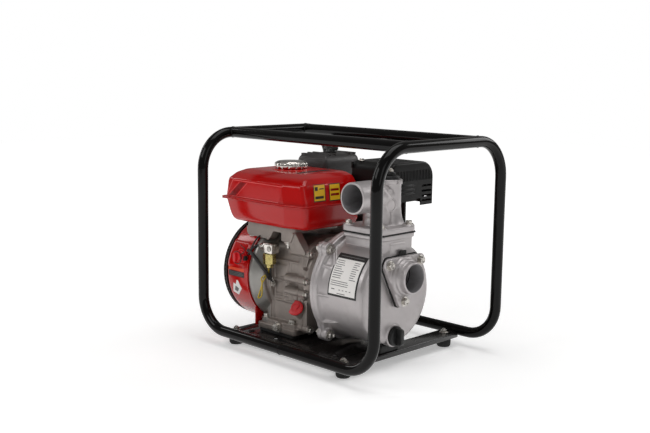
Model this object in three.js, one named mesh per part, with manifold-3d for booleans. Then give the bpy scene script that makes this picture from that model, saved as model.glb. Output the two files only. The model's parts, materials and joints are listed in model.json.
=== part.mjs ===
// Portable engine-driven water pump in a tubular carrying frame.
// Millimetres, +Z up. Origin: centre of the footprint, on the surface the rubber feet stand on.
// +X points along the crankshaft from the engine to the pump, -Y is the oil filler side.
import * as THREE from 'three';
import { mergeVertices } from 'three/addons/utils/BufferGeometryUtils.js';
import Module from 'manifold-3d';

const wasm = await Module();
wasm.setup();

// ---------------------------------------------------------------- driving dimensions
const TUBE_R = 10.75;        // frame tube radius
const HOOP_X = 234.25;       // plane of each end hoop
const HOOP_Y = 179.75;       // hoop uprights, half spacing
const RAIL_Y = 103.65;       // straight top rails, half spacing
const Z_BOT = 30;            // centreline of the bottom runs
const Z_TOP = 424.75;        // centreline of the top bars
const BEND_BOT = 65;         // bend radius, bottom corners
const BEND_TOP = 72;         // bend radius, top corners
const GAP = 0.3;             // clearance between touching pieces
const CRANK_Y = -38;         // crankshaft axis
const CRANK_Z = 142.7;
const CYL_X = -70;           // plane of the cylinder axis
const CYL_TILT = 25;         // cylinder axis above the horizontal, degrees
const BORE_R = 34;           // 68 mm bore
const STROKE = 45;
const DECK = 125;            // crank axis to the top of the barrel
const DRUM_R = 98.5;           // pump casing drum
const PUMP_X0 = 48;          // joint between adapter plate and casing
const PUMP_X1 = 166;         // front face of the casing
const SUCT_Z = 179;          // suction port axis
const PORT_R = 29.8;         // outer radius of both hose stubs (2 inch thread)
const PORT_BORE = 25.5;
const OUT_X = 114;           // discharge stub axis
const OUT_Z = 323.5;
const NECK_Y = -14;          // upright neck of the discharge elbow
const DRAIN_Y = -47, DRAIN_Z = 65; // drain plug axis
const DISCH_Z = 255;         // gasket face of the discharge opening
const SEAM_Z = 295;          // fuel tank seam
const TANK_Z0 = 247.8, TANK_Z1 = 352.5; // tank bottom and top
const CAP_X = -128, CAP_Y = -36;

// ---------------------------------------------------------------- helpers
const deg = (a) => a * Math.PI / 180;
const FACET = 0.42; // coarseness of the larger round forms
const seg = (n) => (n < 20 ? n : Math.max(12, Math.round(n * FACET / 2) * 2));
const V = (x, y, z) => new THREE.Vector3(x, y, z);

function soup(geometry, matrix) {
  let g = geometry.clone();
  if (matrix) g.applyMatrix4(matrix);
  g.deleteAttribute('normal');
  g.deleteAttribute('uv');
  if (g.attributes.normal) g.deleteAttribute('normal');
  g = mergeVertices(g, 1e-4);
  const pos = g.attributes.position.array;
  const idx = g.index.array;
  const tri = [];
  let vol = 0;
  for (let i = 0; i < idx.length; i += 3) {
    const a = idx[i], b = idx[i + 1], c = idx[i + 2];
    if (a === b || b === c || a === c) continue;
    tri.push(a, b, c);
    const ax = pos[3 * a], ay = pos[3 * a + 1], az = pos[3 * a + 2];
    const bx = pos[3 * b], by = pos[3 * b + 1], bz = pos[3 * b + 2];
    const cx = pos[3 * c], cy = pos[3 * c + 1], cz = pos[3 * c + 2];
    vol += ax * (by * cz - bz * cy) - ay * (bx * cz - bz * cx) + az * (bx * cy - by * cx);
  }
  if (vol < 0) for (let i = 0; i < tri.length; i += 3) [tri[i + 1], tri[i + 2]] = [tri[i + 2], tri[i + 1]];
  return { pos: Float32Array.from(pos), tri: Uint32Array.from(tri) };
}
function solid(geometry, matrix) {
  const s = soup(geometry, matrix);
  return new wasm.Manifold(new wasm.Mesh({ numProp: 3, vertProperties: s.pos, triVerts: s.tri }));
}
const join = (...m) => m.reduce((a, b) => a.add(b));
const cut = (a, ...m) => m.reduce((x, y) => x.subtract(y), a);

const T = (x, y, z) => new THREE.Matrix4().makeTranslation(x, y, z);
const basis = (x, y, z, o) => new THREE.Matrix4().makeBasis(x, y, z).setPosition(o);
const ALONG_X = basis(V(0, 1, 0), V(0, 0, 1), V(1, 0, 0), V(0, 0, 0)); // local z -> X, (x, y) -> (Y, Z)
const ALONG_Y = basis(V(1, 0, 0), V(0, 0, 1), V(0, -1, 0), V(0, 0, 0)); // local z -> -Y, (x, y) -> (X, Z)
// frame of the inclined cylinder: local z runs outwards along the bore, local y down and out
const CYL = basis(V(1, 0, 0), V(0, Math.sin(deg(CYL_TILT)), -Math.cos(deg(CYL_TILT))),
  V(0, Math.cos(deg(CYL_TILT)), Math.sin(deg(CYL_TILT))), V(CYL_X, CRANK_Y, CRANK_Z));

function box(x0, y0, z0, x1, y1, z1, m) {
  const g = new THREE.BoxGeometry(x1 - x0, y1 - y0, z1 - z0);
  g.translate((x0 + x1) / 2, (y0 + y1) / 2, (z0 + z1) / 2);
  return solid(g, m);
}
function rodZ(r0, r1, z0, z1, x, y, n = 24, m = null) { // r0 at z0, r1 at z1
  const g = new THREE.CylinderGeometry(r1, r0, z1 - z0, seg(n));
  g.rotateX(Math.PI / 2);
  g.translate(x, y, (z0 + z1) / 2);
  return solid(g, m);
}
function rodX(r, x0, x1, y, z, n = 24, r1 = r) {
  const g = new THREE.CylinderGeometry(r1, r, x1 - x0, seg(n));
  g.rotateZ(-Math.PI / 2);
  g.translate((x0 + x1) / 2, y, z);
  return solid(g);
}
function rodY(r, y0, y1, x, z, n = 24, r1 = r) {
  const g = new THREE.CylinderGeometry(r1, r, y1 - y0, seg(n));
  g.translate(x, (y0 + y1) / 2, z);
  return solid(g);
}
function rod(p, q, r, n = 16, r1 = r) { // between two points
  const d = q.clone().sub(p);
  const g = new THREE.CylinderGeometry(r1, r, d.length(), seg(n));
  g.applyQuaternion(new THREE.Quaternion().setFromUnitVectors(V(0, 1, 0), d.clone().normalize()));
  g.translate((p.x + q.x) / 2, (p.y + q.y) / 2, (p.z + q.z) / 2);
  return solid(g);
}
// revolved profile [[radius, height], ...] about the line through (y, z) along X, or about Z, or about Y
function latheX(profile, y, z, n = 32) {
  const g = new THREE.LatheGeometry(profile.map(([r, h]) => new THREE.Vector2(r, h)), seg(n));
  g.rotateZ(-Math.PI / 2);
  g.translate(0, y, z);
  return solid(g);
}
function latheZ(profile, x, y, n = 32) {
  const g = new THREE.LatheGeometry(profile.map(([r, h]) => new THREE.Vector2(r, h)), seg(n));
  g.rotateX(Math.PI / 2);
  g.translate(x, y, 0);
  return solid(g);
}
function latheY(profile, x, z, n = 32) {
  const g = new THREE.LatheGeometry(profile.map(([r, h]) => new THREE.Vector2(r, h)), seg(n));
  g.translate(x, 0, z);
  return solid(g);
}
// polygon with filleted corners: [x, y, radius]
function filleted(points, steps = 3) {
  const out = [];
  const n = points.length;
  for (let i = 0; i < n; i++) {
    const [x, y, r] = points[i];
    if (!r) { out.push([x, y]); continue; }
    const a = points[(i + n - 1) % n], b = points[(i + 1) % n];
    const u = new THREE.Vector2(a[0] - x, a[1] - y).normalize();
    const v = new THREE.Vector2(b[0] - x, b[1] - y).normalize();
    const half = Math.acos(THREE.MathUtils.clamp(u.dot(v), -1, 1)) / 2;
    const t = r / Math.tan(half);
    const p = [x + u.x * t, y + u.y * t], q = [x + v.x * t, y + v.y * t];
    const k = r / Math.sin(half);
    const w = u.clone().add(v).normalize();
    const c = [x + w.x * k, y + w.y * k];
    let a0 = Math.atan2(p[1] - c[1], p[0] - c[0]), a1 = Math.atan2(q[1] - c[1], q[0] - c[0]);
    while (a1 - a0 > Math.PI) a1 -= 2 * Math.PI;
    while (a1 - a0 < -Math.PI) a1 += 2 * Math.PI;
    for (let k2 = 0; k2 <= steps; k2++) {
      const t2 = a0 + (a1 - a0) * k2 / steps;
      out.push([c[0] + r * Math.cos(t2), c[1] + r * Math.sin(t2)]);
    }
  }
  return out;
}
function plate(points, depth, matrix) {
  const s = new THREE.Shape(points.map(([x, y]) => new THREE.Vector2(x, y)));
  return solid(new THREE.ExtrudeGeometry(s, { depth, bevelEnabled: false, curveSegments: 4 }), matrix);
}
const plateX = (pts, x0, x1) => plate(pts, x1 - x0, T(x0, 0, 0).multiply(ALONG_X));
const plateY = (pts, y0, y1) => plate(pts, y1 - y0, T(0, y1, 0).multiply(ALONG_Y));
const plateZ = (pts, z0, z1) => plate(pts, z1 - z0, T(0, 0, z0));
const rect = (x0, y0, x1, y1, r, steps = 3) =>
  filleted([[x0, y0, r], [x1, y0, r], [x1, y1, r], [x0, y1, r]], steps);
// closed skin through equal rings of points
function loft(rings) {
  const n = rings[0].length, pos = [], idx = [];
  for (const r of rings) for (const p of r) pos.push(...p);
  for (let k = 0; k < rings.length - 1; k++) for (let i = 0; i < n; i++) {
    const a = k * n + i, b = k * n + (i + 1) % n;
    idx.push(a, b, a + n, b, b + n, a + n);
  }
  for (const [k, flip] of [[0, true], [rings.length - 1, false]]) {
    const c = pos.length / 3;
    const m = rings[k].reduce((s, p) => [s[0] + p[0] / n, s[1] + p[1] / n, s[2] + p[2] / n], [0, 0, 0]);
    pos.push(...m);
    for (let i = 0; i < n; i++) {
      const a = k * n + i, b = k * n + (i + 1) % n;
      if (flip) idx.push(c, b, a); else idx.push(c, a, b);
    }
  }
  const g = new THREE.BufferGeometry();
  g.setAttribute('position', new THREE.Float32BufferAttribute(pos, 3));
  g.setIndex(idx);
  return solid(g);
}
const ringZ = (pts, z) => pts.map(([x, y]) => [x, y, z]);
// tube swept along listed points, with exact bends
class ListedPath extends THREE.Curve {
  constructor(points, tangents) { super(); this.points = points; this.tangents = tangents; }
  at(u) { return Math.round(u * (this.points.length - 1)); }
  getPointAt(u) { return this.points[this.at(u)].clone(); }
  getPoint(u) { return this.getPointAt(u); }
  getTangentAt(u) { return this.tangents[this.at(u)].clone(); }
  getTangent(u) { return this.getTangentAt(u); }
}
function sweep(points, tangents, r, n = 12) {
  const s = new THREE.Shape();
  for (let i = 0; i < n; i++) {
    const a = 2 * Math.PI * i / n;
    if (i) s.lineTo(r * Math.cos(a), r * Math.sin(a)); else s.moveTo(r * Math.cos(a), r * Math.sin(a));
  }
  return solid(new THREE.ExtrudeGeometry(s, {
    steps: points.length - 1, extrudePath: new ListedPath(points, tangents), bevelEnabled: false,
  }));
}

const FINISH = {
  frame: { color: 0x101012, roughness: 0.25, metalness: 0.3 },
  rubber: { color: 0x151515, roughness: 0.85, metalness: 0.0 },
  engine: { color: 0x857f79, roughness: 0.5, metalness: 0.7 },
  pump: { color: 0xa9a8a8, roughness: 0.42, metalness: 0.75 },
  red: { color: 0xa80a0a, roughness: 0.25, metalness: 0.1 },
  black: { color: 0x191919, roughness: 0.5, metalness: 0.1 },
  chrome: { color: 0xd8d4cc, roughness: 0.15, metalness: 1.0 },
  steel: { color: 0x8d8d8d, roughness: 0.35, metalness: 1.0 },
  brass: { color: 0xb9974a, roughness: 0.3, metalness: 1.0 },
  foam: { color: 0x4b4f48, roughness: 0.95, metalness: 0.0 },
};
const pump = new THREE.Group();
function node(name, manifold, finish) {
  const m = manifold.getMesh();
  const g = new THREE.BufferGeometry();
  g.setAttribute('position', new THREE.BufferAttribute(Float32Array.from(m.vertProperties), 3));
  g.setIndex(Array.from(m.triVerts));
  g.computeVertexNormals();
  const mesh = new THREE.Mesh(g, new THREE.MeshStandardMaterial(FINISH[finish]));
  mesh.name = name;
  pump.add(mesh);
  return manifold;
}

// ---------------------------------------------------------------- carrying frame
function hoopPath(side) { // side +1: pump end, -1: engine end
  const p = [], t = [];
  const add = (pt, tg) => { p.push(pt); t.push(tg.normalize()); };
  const X = (x) => side * x;
  const N = 5;
  add(V(X(0.4), -HOOP_Y, Z_BOT), V(side, 0, 0));
  for (let i = 0; i <= N; i++) {
    const a = deg(-90 + 90 * i / N);
    add(V(X(HOOP_X - BEND_BOT + BEND_BOT * Math.cos(a)), -HOOP_Y, Z_BOT + BEND_BOT + BEND_BOT * Math.sin(a)),
      V(-side * Math.sin(a), 0, Math.cos(a)));
  }
  for (let i = 0; i <= N; i++) {
    const a = deg(180 - 90 * i / N);
    add(V(X(HOOP_X), -HOOP_Y + BEND_TOP + BEND_TOP * Math.cos(a), Z_TOP - BEND_TOP + BEND_TOP * Math.sin(a)),
      V(0, Math.sin(a), -Math.cos(a)));
  }
  for (let i = 0; i <= N; i++) {
    const a = deg(90 - 90 * i / N);
    add(V(X(HOOP_X), HOOP_Y - BEND_TOP + BEND_TOP * Math.cos(a), Z_TOP - BEND_TOP + BEND_TOP * Math.sin(a)),
      V(0, Math.sin(a), -Math.cos(a)));
  }
  for (let i = 0; i <= N; i++) {
    const a = deg(-90 * i / N);
    add(V(X(HOOP_X - BEND_BOT + BEND_BOT * Math.cos(a)), HOOP_Y, Z_BOT + BEND_BOT + BEND_BOT * Math.sin(a)),
      V(side * Math.sin(a), 0, -Math.cos(a)));
  }
  add(V(X(0.4), HOOP_Y, Z_BOT), V(-side, 0, 0));
  return [p, t];
}
node('frame_hoop_pump_end', sweep(...hoopPath(1), TUBE_R), 'frame');
node('frame_hoop_engine_end', sweep(...hoopPath(-1), TUBE_R), 'frame');
const hoopClear = join(sweep(...hoopPath(1), TUBE_R + 0.5), sweep(...hoopPath(-1), TUBE_R + 0.5));
for (const [name, y] of [['top_rail_near', -RAIL_Y], ['top_rail_far', RAIL_Y]]) {
  node(name, cut(rodX(TUBE_R, -HOOP_X + 4, HOOP_X - 4, y, Z_TOP, 12), hoopClear), 'frame');
}

// ---------------------------------------------------------------- base
const FOOT_Y = 148, FOOT_XP = 133, FOOT_XE = -168.5;
const channel = (x0, x1) => plateY([[x0, 18], [x0 + 2, 18], [x0 + 2, 26], [x1 - 2, 26], [x1 - 2, 18], [x1, 18], [x1, 28], [x0, 28]], -168.5, 168.5);
node('base_channel_pump', cut(channel(113, 153), rodZ(4.3, 4.3, 20, 30, FOOT_XP, -FOOT_Y, 12), rodZ(4.3, 4.3, 20, 30, FOOT_XP, FOOT_Y, 12)), 'frame');
node('base_channel_engine', cut(channel(-184, -153), rodZ(4.3, 4.3, 20, 30, FOOT_XE, -FOOT_Y, 12), rodZ(4.3, 4.3, 20, 30, FOOT_XE, FOOT_Y, 12)), 'frame');
const ENG_BOLTS = [[-125, -104], [-49.5, -104], [-125, 58], [-49.5, 58]];
const PAN = [[-152.7, -146], [112.7, -146], [112.7, 50], [40, 50], [10, 80], [-152.7, 80]];
node('base_plate', cut(join(plateZ(PAN, 26, 28), box(-152.7, -146, 17, 112.7, -144, 27), box(-152.7, 78, 17, 10, 80, 27)),
  ...ENG_BOLTS.map(([x, y]) => rodZ(4.3, 4.3, 20, 30, x, y, 12)), rodZ(5, 5, 20, 30, -66, -132.5, 12)), 'frame');
const footProfile = [[0, 0], [13.2, 0], [14.3, 3], [14.6, 17.6], [11.5, 17.6], [11.5, 25.7], [0, 25.7]];
for (const [name, x, y] of [['foot_pump_near', FOOT_XP, -FOOT_Y], ['foot_pump_far', FOOT_XP, FOOT_Y],
  ['foot_engine_near', FOOT_XE, -FOOT_Y], ['foot_engine_far', FOOT_XE, FOOT_Y]]) {
  node(name, latheZ(footProfile, x, y, 16), 'rubber');
}
node('pump_support_pad', plateX(filleted([[-64, 28.3, 0], [-12, 28.3, 0], [-16, 43.7, 4], [-60, 43.7, 4]]), 117, 149), 'rubber');
for (const [name, y] of [['engine_mount_near', -104], ['engine_mount_far', 58]]) {
  node(name, cut(plateZ(rect(-137, y - 11, -37, y + 11, 5, 2), 28.3, 34.7), rodZ(4.3, 4.3, 20, 40, -125, y, 12), rodZ(4.3, 4.3, 20, 40, -49.5, y, 12)), 'rubber');
}

// ---------------------------------------------------------------- engine: crankcase and cylinder
const caseOuter = [[-104, 44, 0], [60, 44, 0], [60, 150, 20], [18, 226, 22], [-46, 228, 18], [-92, 212, 16], [-104, 178, 16]];
const caseInner = [[-98, 56, 8], [54, 56, 8], [54, 148, 16], [14, 219, 16], [-44, 221, 14], [-86, 206, 12], [-98, 175, 12]];
const BOSSES = [[-98, 201], [-110, 149], [-111, 124], [-99, 50], [56, 60], [58, 140], [14, 222]];
const bossWebs = (x0, x1) => [box(x0, -111, 119, x1, -100, 129), box(x0, -110, 144, x1, -100, 154)];
let crankcase = join(
  plateZ(rect(-139.4, -117, -30, 72, 6, 2), 35, 47),
  plateX(filleted(caseOuter, 2), -124, -22),
  rodX(103, -139.4, -118, CRANK_Y, CRANK_Z, 40),
  ...BOSSES.map(([y, z]) => rodX(7, -60, -22, y, z, 12)), ...bossWebs(-60, -22),
);
for (const d of [76, 88, 100]) crankcase = join(crankcase, box(-47, -50, d, 47, 50, d + 2.8, CYL));
crankcase = join(crankcase, box(-47, -48, 117, 47, 48, DECK, CYL), rodZ(41, 41, 40, DECK, 0, 0, 32, CYL));
crankcase = join(crankcase, rodZ(5, 5, 205, 263.7, -92, 44, 12)); // post of the throttle lever
// oil filler boss and drain boss
const FILL_DIR = V(0, -0.77, 0.638).normalize();
const FILL_P = V(-32.8, -107, 84.5);
const along = (p, d, k) => p.clone().addScaledVector(d, k);
crankcase = join(crankcase, rod(along(FILL_P, FILL_DIR, -18), along(FILL_P, FILL_DIR, 5), 10.6, 16), rodY(9, -118.5, -100, -77, 46, 12));
crankcase = cut(crankcase,
  plateX(filleted(caseInner, 2), -117, -20),
  rodX(93, -141, -125, CRANK_Y, CRANK_Z, 36),
  rodX(13.4, -130, -110, CRANK_Y, CRANK_Z, 20),
  rodZ(BORE_R + 0.15, BORE_R + 0.15, 10, 130, 0, 0, 32, CYL),
  rod(along(FILL_P, FILL_DIR, -34), along(FILL_P, FILL_DIR, 8), 8.4, 12),
  rodY(5.3, -125, -90, -77, 46, 12),
  ...ENG_BOLTS.map(([x, y]) => rodZ(4.3, 4.3, 30, 50, x, y, 12)),
);
node('crankcase', crankcase, 'engine');

// crankcase cover on the pump side
const coverPts = [[-104, 50, 8], [58, 50, 8], [62, 140, 20], [20, 226, 20], [-46, 228, 18], [-92, 212, 16], [-106, 178, 16]];
let cover = join(plateX(filleted(coverPts, 2), -21.7, -8), ...BOSSES.map(([y, z]) => rodX(7, -21.7, -5, y, z, 12)), ...bossWebs(-21.7, -8),
  latheX([[0, -10], [72, -10], [70, -2], [60, 8], [60, 12], [0, 12]], CRANK_Y, CRANK_Z, 32));
cover = cut(cover, latheX([[0, -24], [60, -24], [56, -6], [30, 0], [0, 0]], CRANK_Y, CRANK_Z, 24), rodX(13.4, -30, 20, CRANK_Y, CRANK_Z, 20));
node('crankcase_cover', cover, 'engine');
node('oil_drain_bolt', join(rodY(8, -124, -118.8, -77, 46, 6), rodY(5, -118.9, -96, -77, 46, 12)), 'steel');

// cylinder head, rocker cover, spark plug
const D0 = DECK + GAP;
let head = join(box(-47, -48, D0, 47, 48, D0 + 6, CYL), box(-40, -38, D0, 40, 38, 153, CYL),
  box(-49, -48, 139, 49, 48, 142, CYL), box(-49, -48, 149, 49, 48, 153, CYL),
  box(-30, -62, 130, 30, -36, 150, CYL));
head = cut(head, rodZ(30, 22, D0 - 1, D0 + 7, 0, 0, 24, CYL), rodZ(5.4, 5.4, D0 + 6, 160, 44, 22, 12, CYL),
  rodZ(9, 9, -70, -40, 0, 0, 12, CYL.clone().multiply(new THREE.Matrix4().makeRotationX(Math.PI / 2)).multiply(T(-16, 140, 0))),
  rodZ(9, 9, -70, -40, 0, 0, 12, CYL.clone().multiply(new THREE.Matrix4().makeRotationX(Math.PI / 2)).multiply(T(16, 140, 0))));
head = cut(head, rodX(13.5, -125, -100.1, 69, 250, 16), rodX(13.5, -39.9, -10, 69, 250, 16));
node('cylinder_head', head, 'engine');
let rocker = plate(rect(-38, -44, 34, 44, 12, 3), 26, CYL.clone().multiply(T(0, 0, 153 + GAP)));
rocker = join(rocker, plate(rect(-30, -36, 26, 36, 10, 3), 5, CYL.clone().multiply(T(0, 0, 179))));
rocker = cut(rocker, plate(rect(-35, -41, 31, 41, 9, 3), 22, CYL.clone().multiply(T(0, 0, 152))));
node('rocker_cover', rocker, 'black');
node('spark_plug', join(rodZ(5, 5, D0 + 8, 153.2, 44, 22, 12, CYL), rodZ(9, 9, 153.4, 161, 44, 22, 6, CYL), rodZ(5, 4, 161, 176, 44, 22, 12, CYL),
  rodZ(3, 3, 153.1, 153.5, 44, 22, 8, CYL)), 'steel');

// piston with its wrist pin
node('piston', join(cut(rodZ(BORE_R - 0.1, BORE_R - 0.1, DECK - 37, DECK - 1, 0, 0, 32, CYL), rodZ(29.5, 29.5, DECK - 38, DECK - 7, 0, 0, 24, CYL)),
  solid(new THREE.CylinderGeometry(8, 8, 60, 12), CYL.clone().multiply(T(0, 0, DECK - 19)).multiply(new THREE.Matrix4().makeRotationZ(Math.PI / 2)))), 'steel');

// crankshaft, flywheel and starter
const SH = STROKE / 2;
let crank = join(
  rodX(12.6, -158, -98, CRANK_Y, CRANK_Z, 20), rodX(12.6, -42, 14, CRANK_Y, CRANK_Z, 20), rodX(9.5, 14, 84, CRANK_Y, CRANK_Z, 20),
  rodX(9.5, -196, -158, CRANK_Y, CRANK_Z, 20), rodX(7, 84, 103, CRANK_Y, CRANK_Z, 16),
  rodX(13, -88, -52, CRANK_Y - SH, CRANK_Z, 20),
);
for (const x of [-100, -53]) crank = join(crank, plateX(filleted([[CRANK_Y - 36, CRANK_Z - 14, 8], [CRANK_Y + 34, CRANK_Z - 20, 12], [CRANK_Y + 34, CRANK_Z + 20, 12], [CRANK_Y - 36, CRANK_Z + 14, 8]], 2), x, x + 13));
node('crankshaft', crank, 'steel');
let fly = latheX([[9.9, -172], [24, -172], [28, -164], [88, -164], [88, -150], [76, -150], [76, -156], [24, -156], [18, -152], [9.9, -152], [9.9, -172]], CRANK_Y, CRANK_Z, 36);
fly = cut(fly, rodX(13, -158.4, -140, CRANK_Y, CRANK_Z, 20));
for (let i = 0; i < 10; i++) {
  const a = 2 * Math.PI * i / 10;
  const m = T(0, CRANK_Y, CRANK_Z).multiply(new THREE.Matrix4().makeRotationX(a)).multiply(T(0, 68, 0)).multiply(new THREE.Matrix4().makeRotationX(0.45));
  fly = join(fly, box(-192, -16, -1.5, -163, 16, 1.5, m));
}
node('flywheel', fly, 'engine');
node('starter_cup', latheX([[9.9, -183], [9.9, -172.3], [30, -172.3], [32, -196], [30, -196], [28, -175], [14, -175], [14, -183], [9.9, -183]], CRANK_Y, CRANK_Z, 28), 'steel');

// fan shroud and recoil starter
let shroud = latheX([[104.5, -139.7], [104.5, -198], [102, -205], [96, -208], [70, -208], [70, -205.5], [95, -205.5], [100, -203], [102, -197], [102, -139.7], [104.5, -139.7]], CRANK_Y, CRANK_Z, 40);
shroud = join(shroud, cut(box(-143, -120, 38, -139.7, -96, 100), rodX(102, -145, -138, CRANK_Y, CRANK_Z, 40)));
node('fan_shroud', shroud, 'red');
let recoil = latheX([[103.5, -208.3], [103, -214], [97, -219.5], [76, -221.7], [0, -222], [0, -219.5], [75, -219.2], [95, -217], [100, -213], [100.5, -208.3], [103.5, -208.3]], CRANK_Y, CRANK_Z, 36);
recoil = join(recoil, rodX(6, -221, -201, CRANK_Y, CRANK_Z, 12));
const ROPE_Z = CRANK_Z + 31;
recoil = cut(recoil, rodY(3.4, 20, 110, -212, ROPE_Z, 12));
node('recoil_housing', recoil, 'black');
node('recoil_reel', latheX([[6.4, -216.5], [36, -216.5], [36, -214.5], [29, -214], [29, -209.8], [36, -209.3], [36, -207.5], [6.4, -207.5], [6.4, -216.5]], CRANK_Y, CRANK_Z, 28), 'black');
node('starter_grip', join(plateX(filleted([[67, ROPE_Z - 34, 5], [81, ROPE_Z - 34, 5], [85, ROPE_Z, 8], [81, ROPE_Z + 34, 5], [67, ROPE_Z + 34, 5], [69, ROPE_Z, 8]], 3), -220, -204), rodY(2, 38, 70, -212, ROPE_Z, 8)), 'black');

// ---------------------------------------------------------------- fuel tank
const lower = (o, z0, top) => loft([
  ringZ(rect(-204 + o, -126 + o, -3 - o, 22 - o, 16, 3), z0),
  ringZ(rect(-212 + o, -134 + o, 5 - o, 29 - o, 20, 3), z0 + 7),
  ringZ(rect(-217 + o, -135 + o, 6 - o, 30 - o, 20, 3), top),
]);
let tankLower = join(lower(0, TANK_Z0, SEAM_Z - GAP / 2), plateZ(rect(-227, -140, 11, 34, 22, 3), SEAM_Z - 2.4, SEAM_Z - GAP / 2));
tankLower = cut(tankLower, lower(2, TANK_Z0 + 2, SEAM_Z + 1), rodZ(4, 4, TANK_Z0 - 5, TANK_Z0 + 6, -150, 5, 12));
node('fuel_tank_lower', tankLower, 'red');
const upperRings = (o, dz) => [
  ringZ(rect(-217 + o, -135 + o, 6 - o, 30 - o, 20, 3), SEAM_Z + GAP / 2),
  ringZ(rect(-214 + o, -132 + o, -7 - o, 28 - o, 18, 3), 335 - dz),
  ringZ(rect(-210 + o, -116 + o, -17 - o, 24 - o, 16, 3), 345 - dz),
  ringZ(rect(-200 + o, -94 + o, -38 - o, 14 - o, 16, 3), TANK_Z1 - dz),
];
let tankUpper = join(loft(upperRings(0, 0)), plateZ(rect(-227, -140, 11, 34, 22, 3), SEAM_Z + GAP / 2, SEAM_Z + 2.4),
  rodZ(39, 37, 345, TANK_Z1 + 1.5, CAP_X, CAP_Y, 32), rodZ(24, 24, 351, 358, CAP_X, CAP_Y, 28));
const inner = upperRings(2.2, 2);
inner[0] = inner[0].map(([x, y]) => [x, y, SEAM_Z - 2]);
tankUpper = cut(tankUpper, loft(inner), rodZ(21, 21, 330, 360, CAP_X, CAP_Y, 28));
node('fuel_tank_upper', tankUpper, 'red');
node('fuel_cap', cut(join(latheZ([[0, 355.5], [33, 355.5], [34, 358], [34, 364], [31, 368], [24, 369.5], [0, 370]], CAP_X, CAP_Y, 32)),
  rodZ(25, 25, 350, 358.4, CAP_X, CAP_Y, 28),
  ...Array.from({ length: 12 }, (_, i) => rodZ(4, 4, 350, 366, CAP_X + 36 * Math.cos(i * Math.PI / 6), CAP_Y + 36 * Math.sin(i * Math.PI / 6), 6))), 'chrome');
let bracket = join(plateZ(rect(-178, -112, -40, 16, 8, 2), 236, 247.4), plateZ(rect(-178, -112, -146, -88, 6, 2), 219, 237),
  plateZ(rect(-76, -112, -48, -88, 6, 2), 219, 237), plateZ(rect(-110, -40, -46, 2, 6, 2), 228.4, 237));
bracket = cut(bracket, rodX(106.4, -190, -117.5, CRANK_Y, CRANK_Z, 48), rodZ(3.4, 3.4, 215, 260, -162, -100, 10), rodZ(3.4, 3.4, 215, 260, -62, -100, 10));
node('tank_bracket', bracket, 'engine');

// ---------------------------------------------------------------- air cleaner and carburettor
const AC = (o) => filleted([[-197 + o, 40 + o, Math.max(10 - o, 3)], [-105 - o, 40 + o, Math.max(10 - o, 3)], [-105 - o, 165 - o, Math.max(34 - o, 6)], [-197 + o, 165 - o, Math.max(34 - o, 6)]], 4);
let acCover = loft([ringZ(AC(0), 319), ringZ(AC(1), 366), ringZ(AC(4), 374), ringZ(AC(12), 378)]);
acCover = cut(acCover, loft([ringZ(AC(2.2), 318), ringZ(AC(3.2), 365), ringZ(AC(14), 375.6)]), rodZ(4.2, 4.2, 360, 390, -148, 100, 12));
node('air_cleaner_cover', acCover, 'black');
let acBase = join(plateZ(AC(3), 303, 318.7), rodZ(19, 17, 296.4, 304, -150, 92, 24), rodZ(3.8, 3.8, 310, 384, -148, 100, 12));
acBase = cut(acBase, plateZ(AC(6), 306, 320).subtract(rodZ(6, 6, 300, 330, -148, 100, 12)), rodZ(14, 14, 290, 330, -150, 78, 20));
node('air_cleaner_base', acBase, 'black');
node('air_filter_element', cut(plateZ(AC(9), 307, 356), plateZ(AC(24), 300, 360)), 'foam');
node('air_cleaner_knob', cut(join(rodZ(11, 9, 378.4, 388, -148, 100, 16), box(-167, 96.5, 384, -129, 103.5, 395)), rodZ(4.2, 4.2, 370, 384.4, -148, 100, 12)), 'black');

let carb = join(box(-172, 58, 240, -128, 112, 284), rodZ(18, 18, 284, 296, -150, 92, 24), rodZ(21, 19, 224, 247, -150, 92, 24),
  rodX(12, -130, -100.3, 69, 250, 16), rodY(5, 111, 120, -160, 270, 12), rodY(6, 111, 120, -138, 250, 12));
carb = cut(carb, rodZ(12, 12, 262, 300, -150, 92, 20), rodX(8, -150, -99, 69, 250, 14), rod(V(-150, 92, 264), V(-150, 69, 250), 8, 12));
node('carburettor', carb, 'engine');
// control levers on the outer face of the carburettor
const lever = (x, y, z, len, up) => join(rodY(7, y, y + 3, x, z, 16), box(x - len, y, z - 4, x, y + 3, z + 4), box(x - len - 3, y, z - 4, x - len + 5, y + 12, z + 4));
node('choke_lever', lever(-160, 120.3, 270, 28), 'black');
node('fuel_valve_lever', join(rodY(8, 120.3, 125, -138, 250, 16), box(-138, 120.3, 247, -112, 125, 253)), 'black');
node('throttle_lever', join(rodZ(9, 9, 264, 267, -92, 44, 16), box(-96, 44, 264, -88, 84, 267), box(-96, 81, 264, -88, 85, 278)), 'black');

// ---------------------------------------------------------------- muffler
const MX0 = -30, MX1 = 80, MY0 = 37.5, MY1 = 167, MZ0 = 286, MZ1 = 374;
const shieldOut = filleted([[MY0, MZ0, 0], [MY1, MZ0, 0], [MY1, MZ1, 36], [MY0, MZ1, 18]], 4);
const shieldIn = filleted([[MY0 + 2, MZ0 - 5, 0], [MY1 - 2, MZ0 - 5, 0], [MY1 - 2, MZ1 - 2, 34], [MY0 + 2, MZ1 - 2, 16]], 4);
let shield = cut(plateX(shieldOut, MX0, MX1), plateX(shieldIn, MX0 - 5, MX1 - 2), box(MX0 - 2, MY0 - 2, MZ0 - 2, MX1 + 2, MY0 + 92, MZ0 + 9));
for (let i = 0; i < 5; i++) shield = cut(shield, box(MX1 - 6, 134, 299 + 10 * i, MX1 + 2, 164, 303 + 10 * i), box(MX1 - 6, 72, 304 + 10 * i, MX1 + 2, 122, 308 + 10 * i));
node('muffler_shield', shield, 'black');
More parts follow.
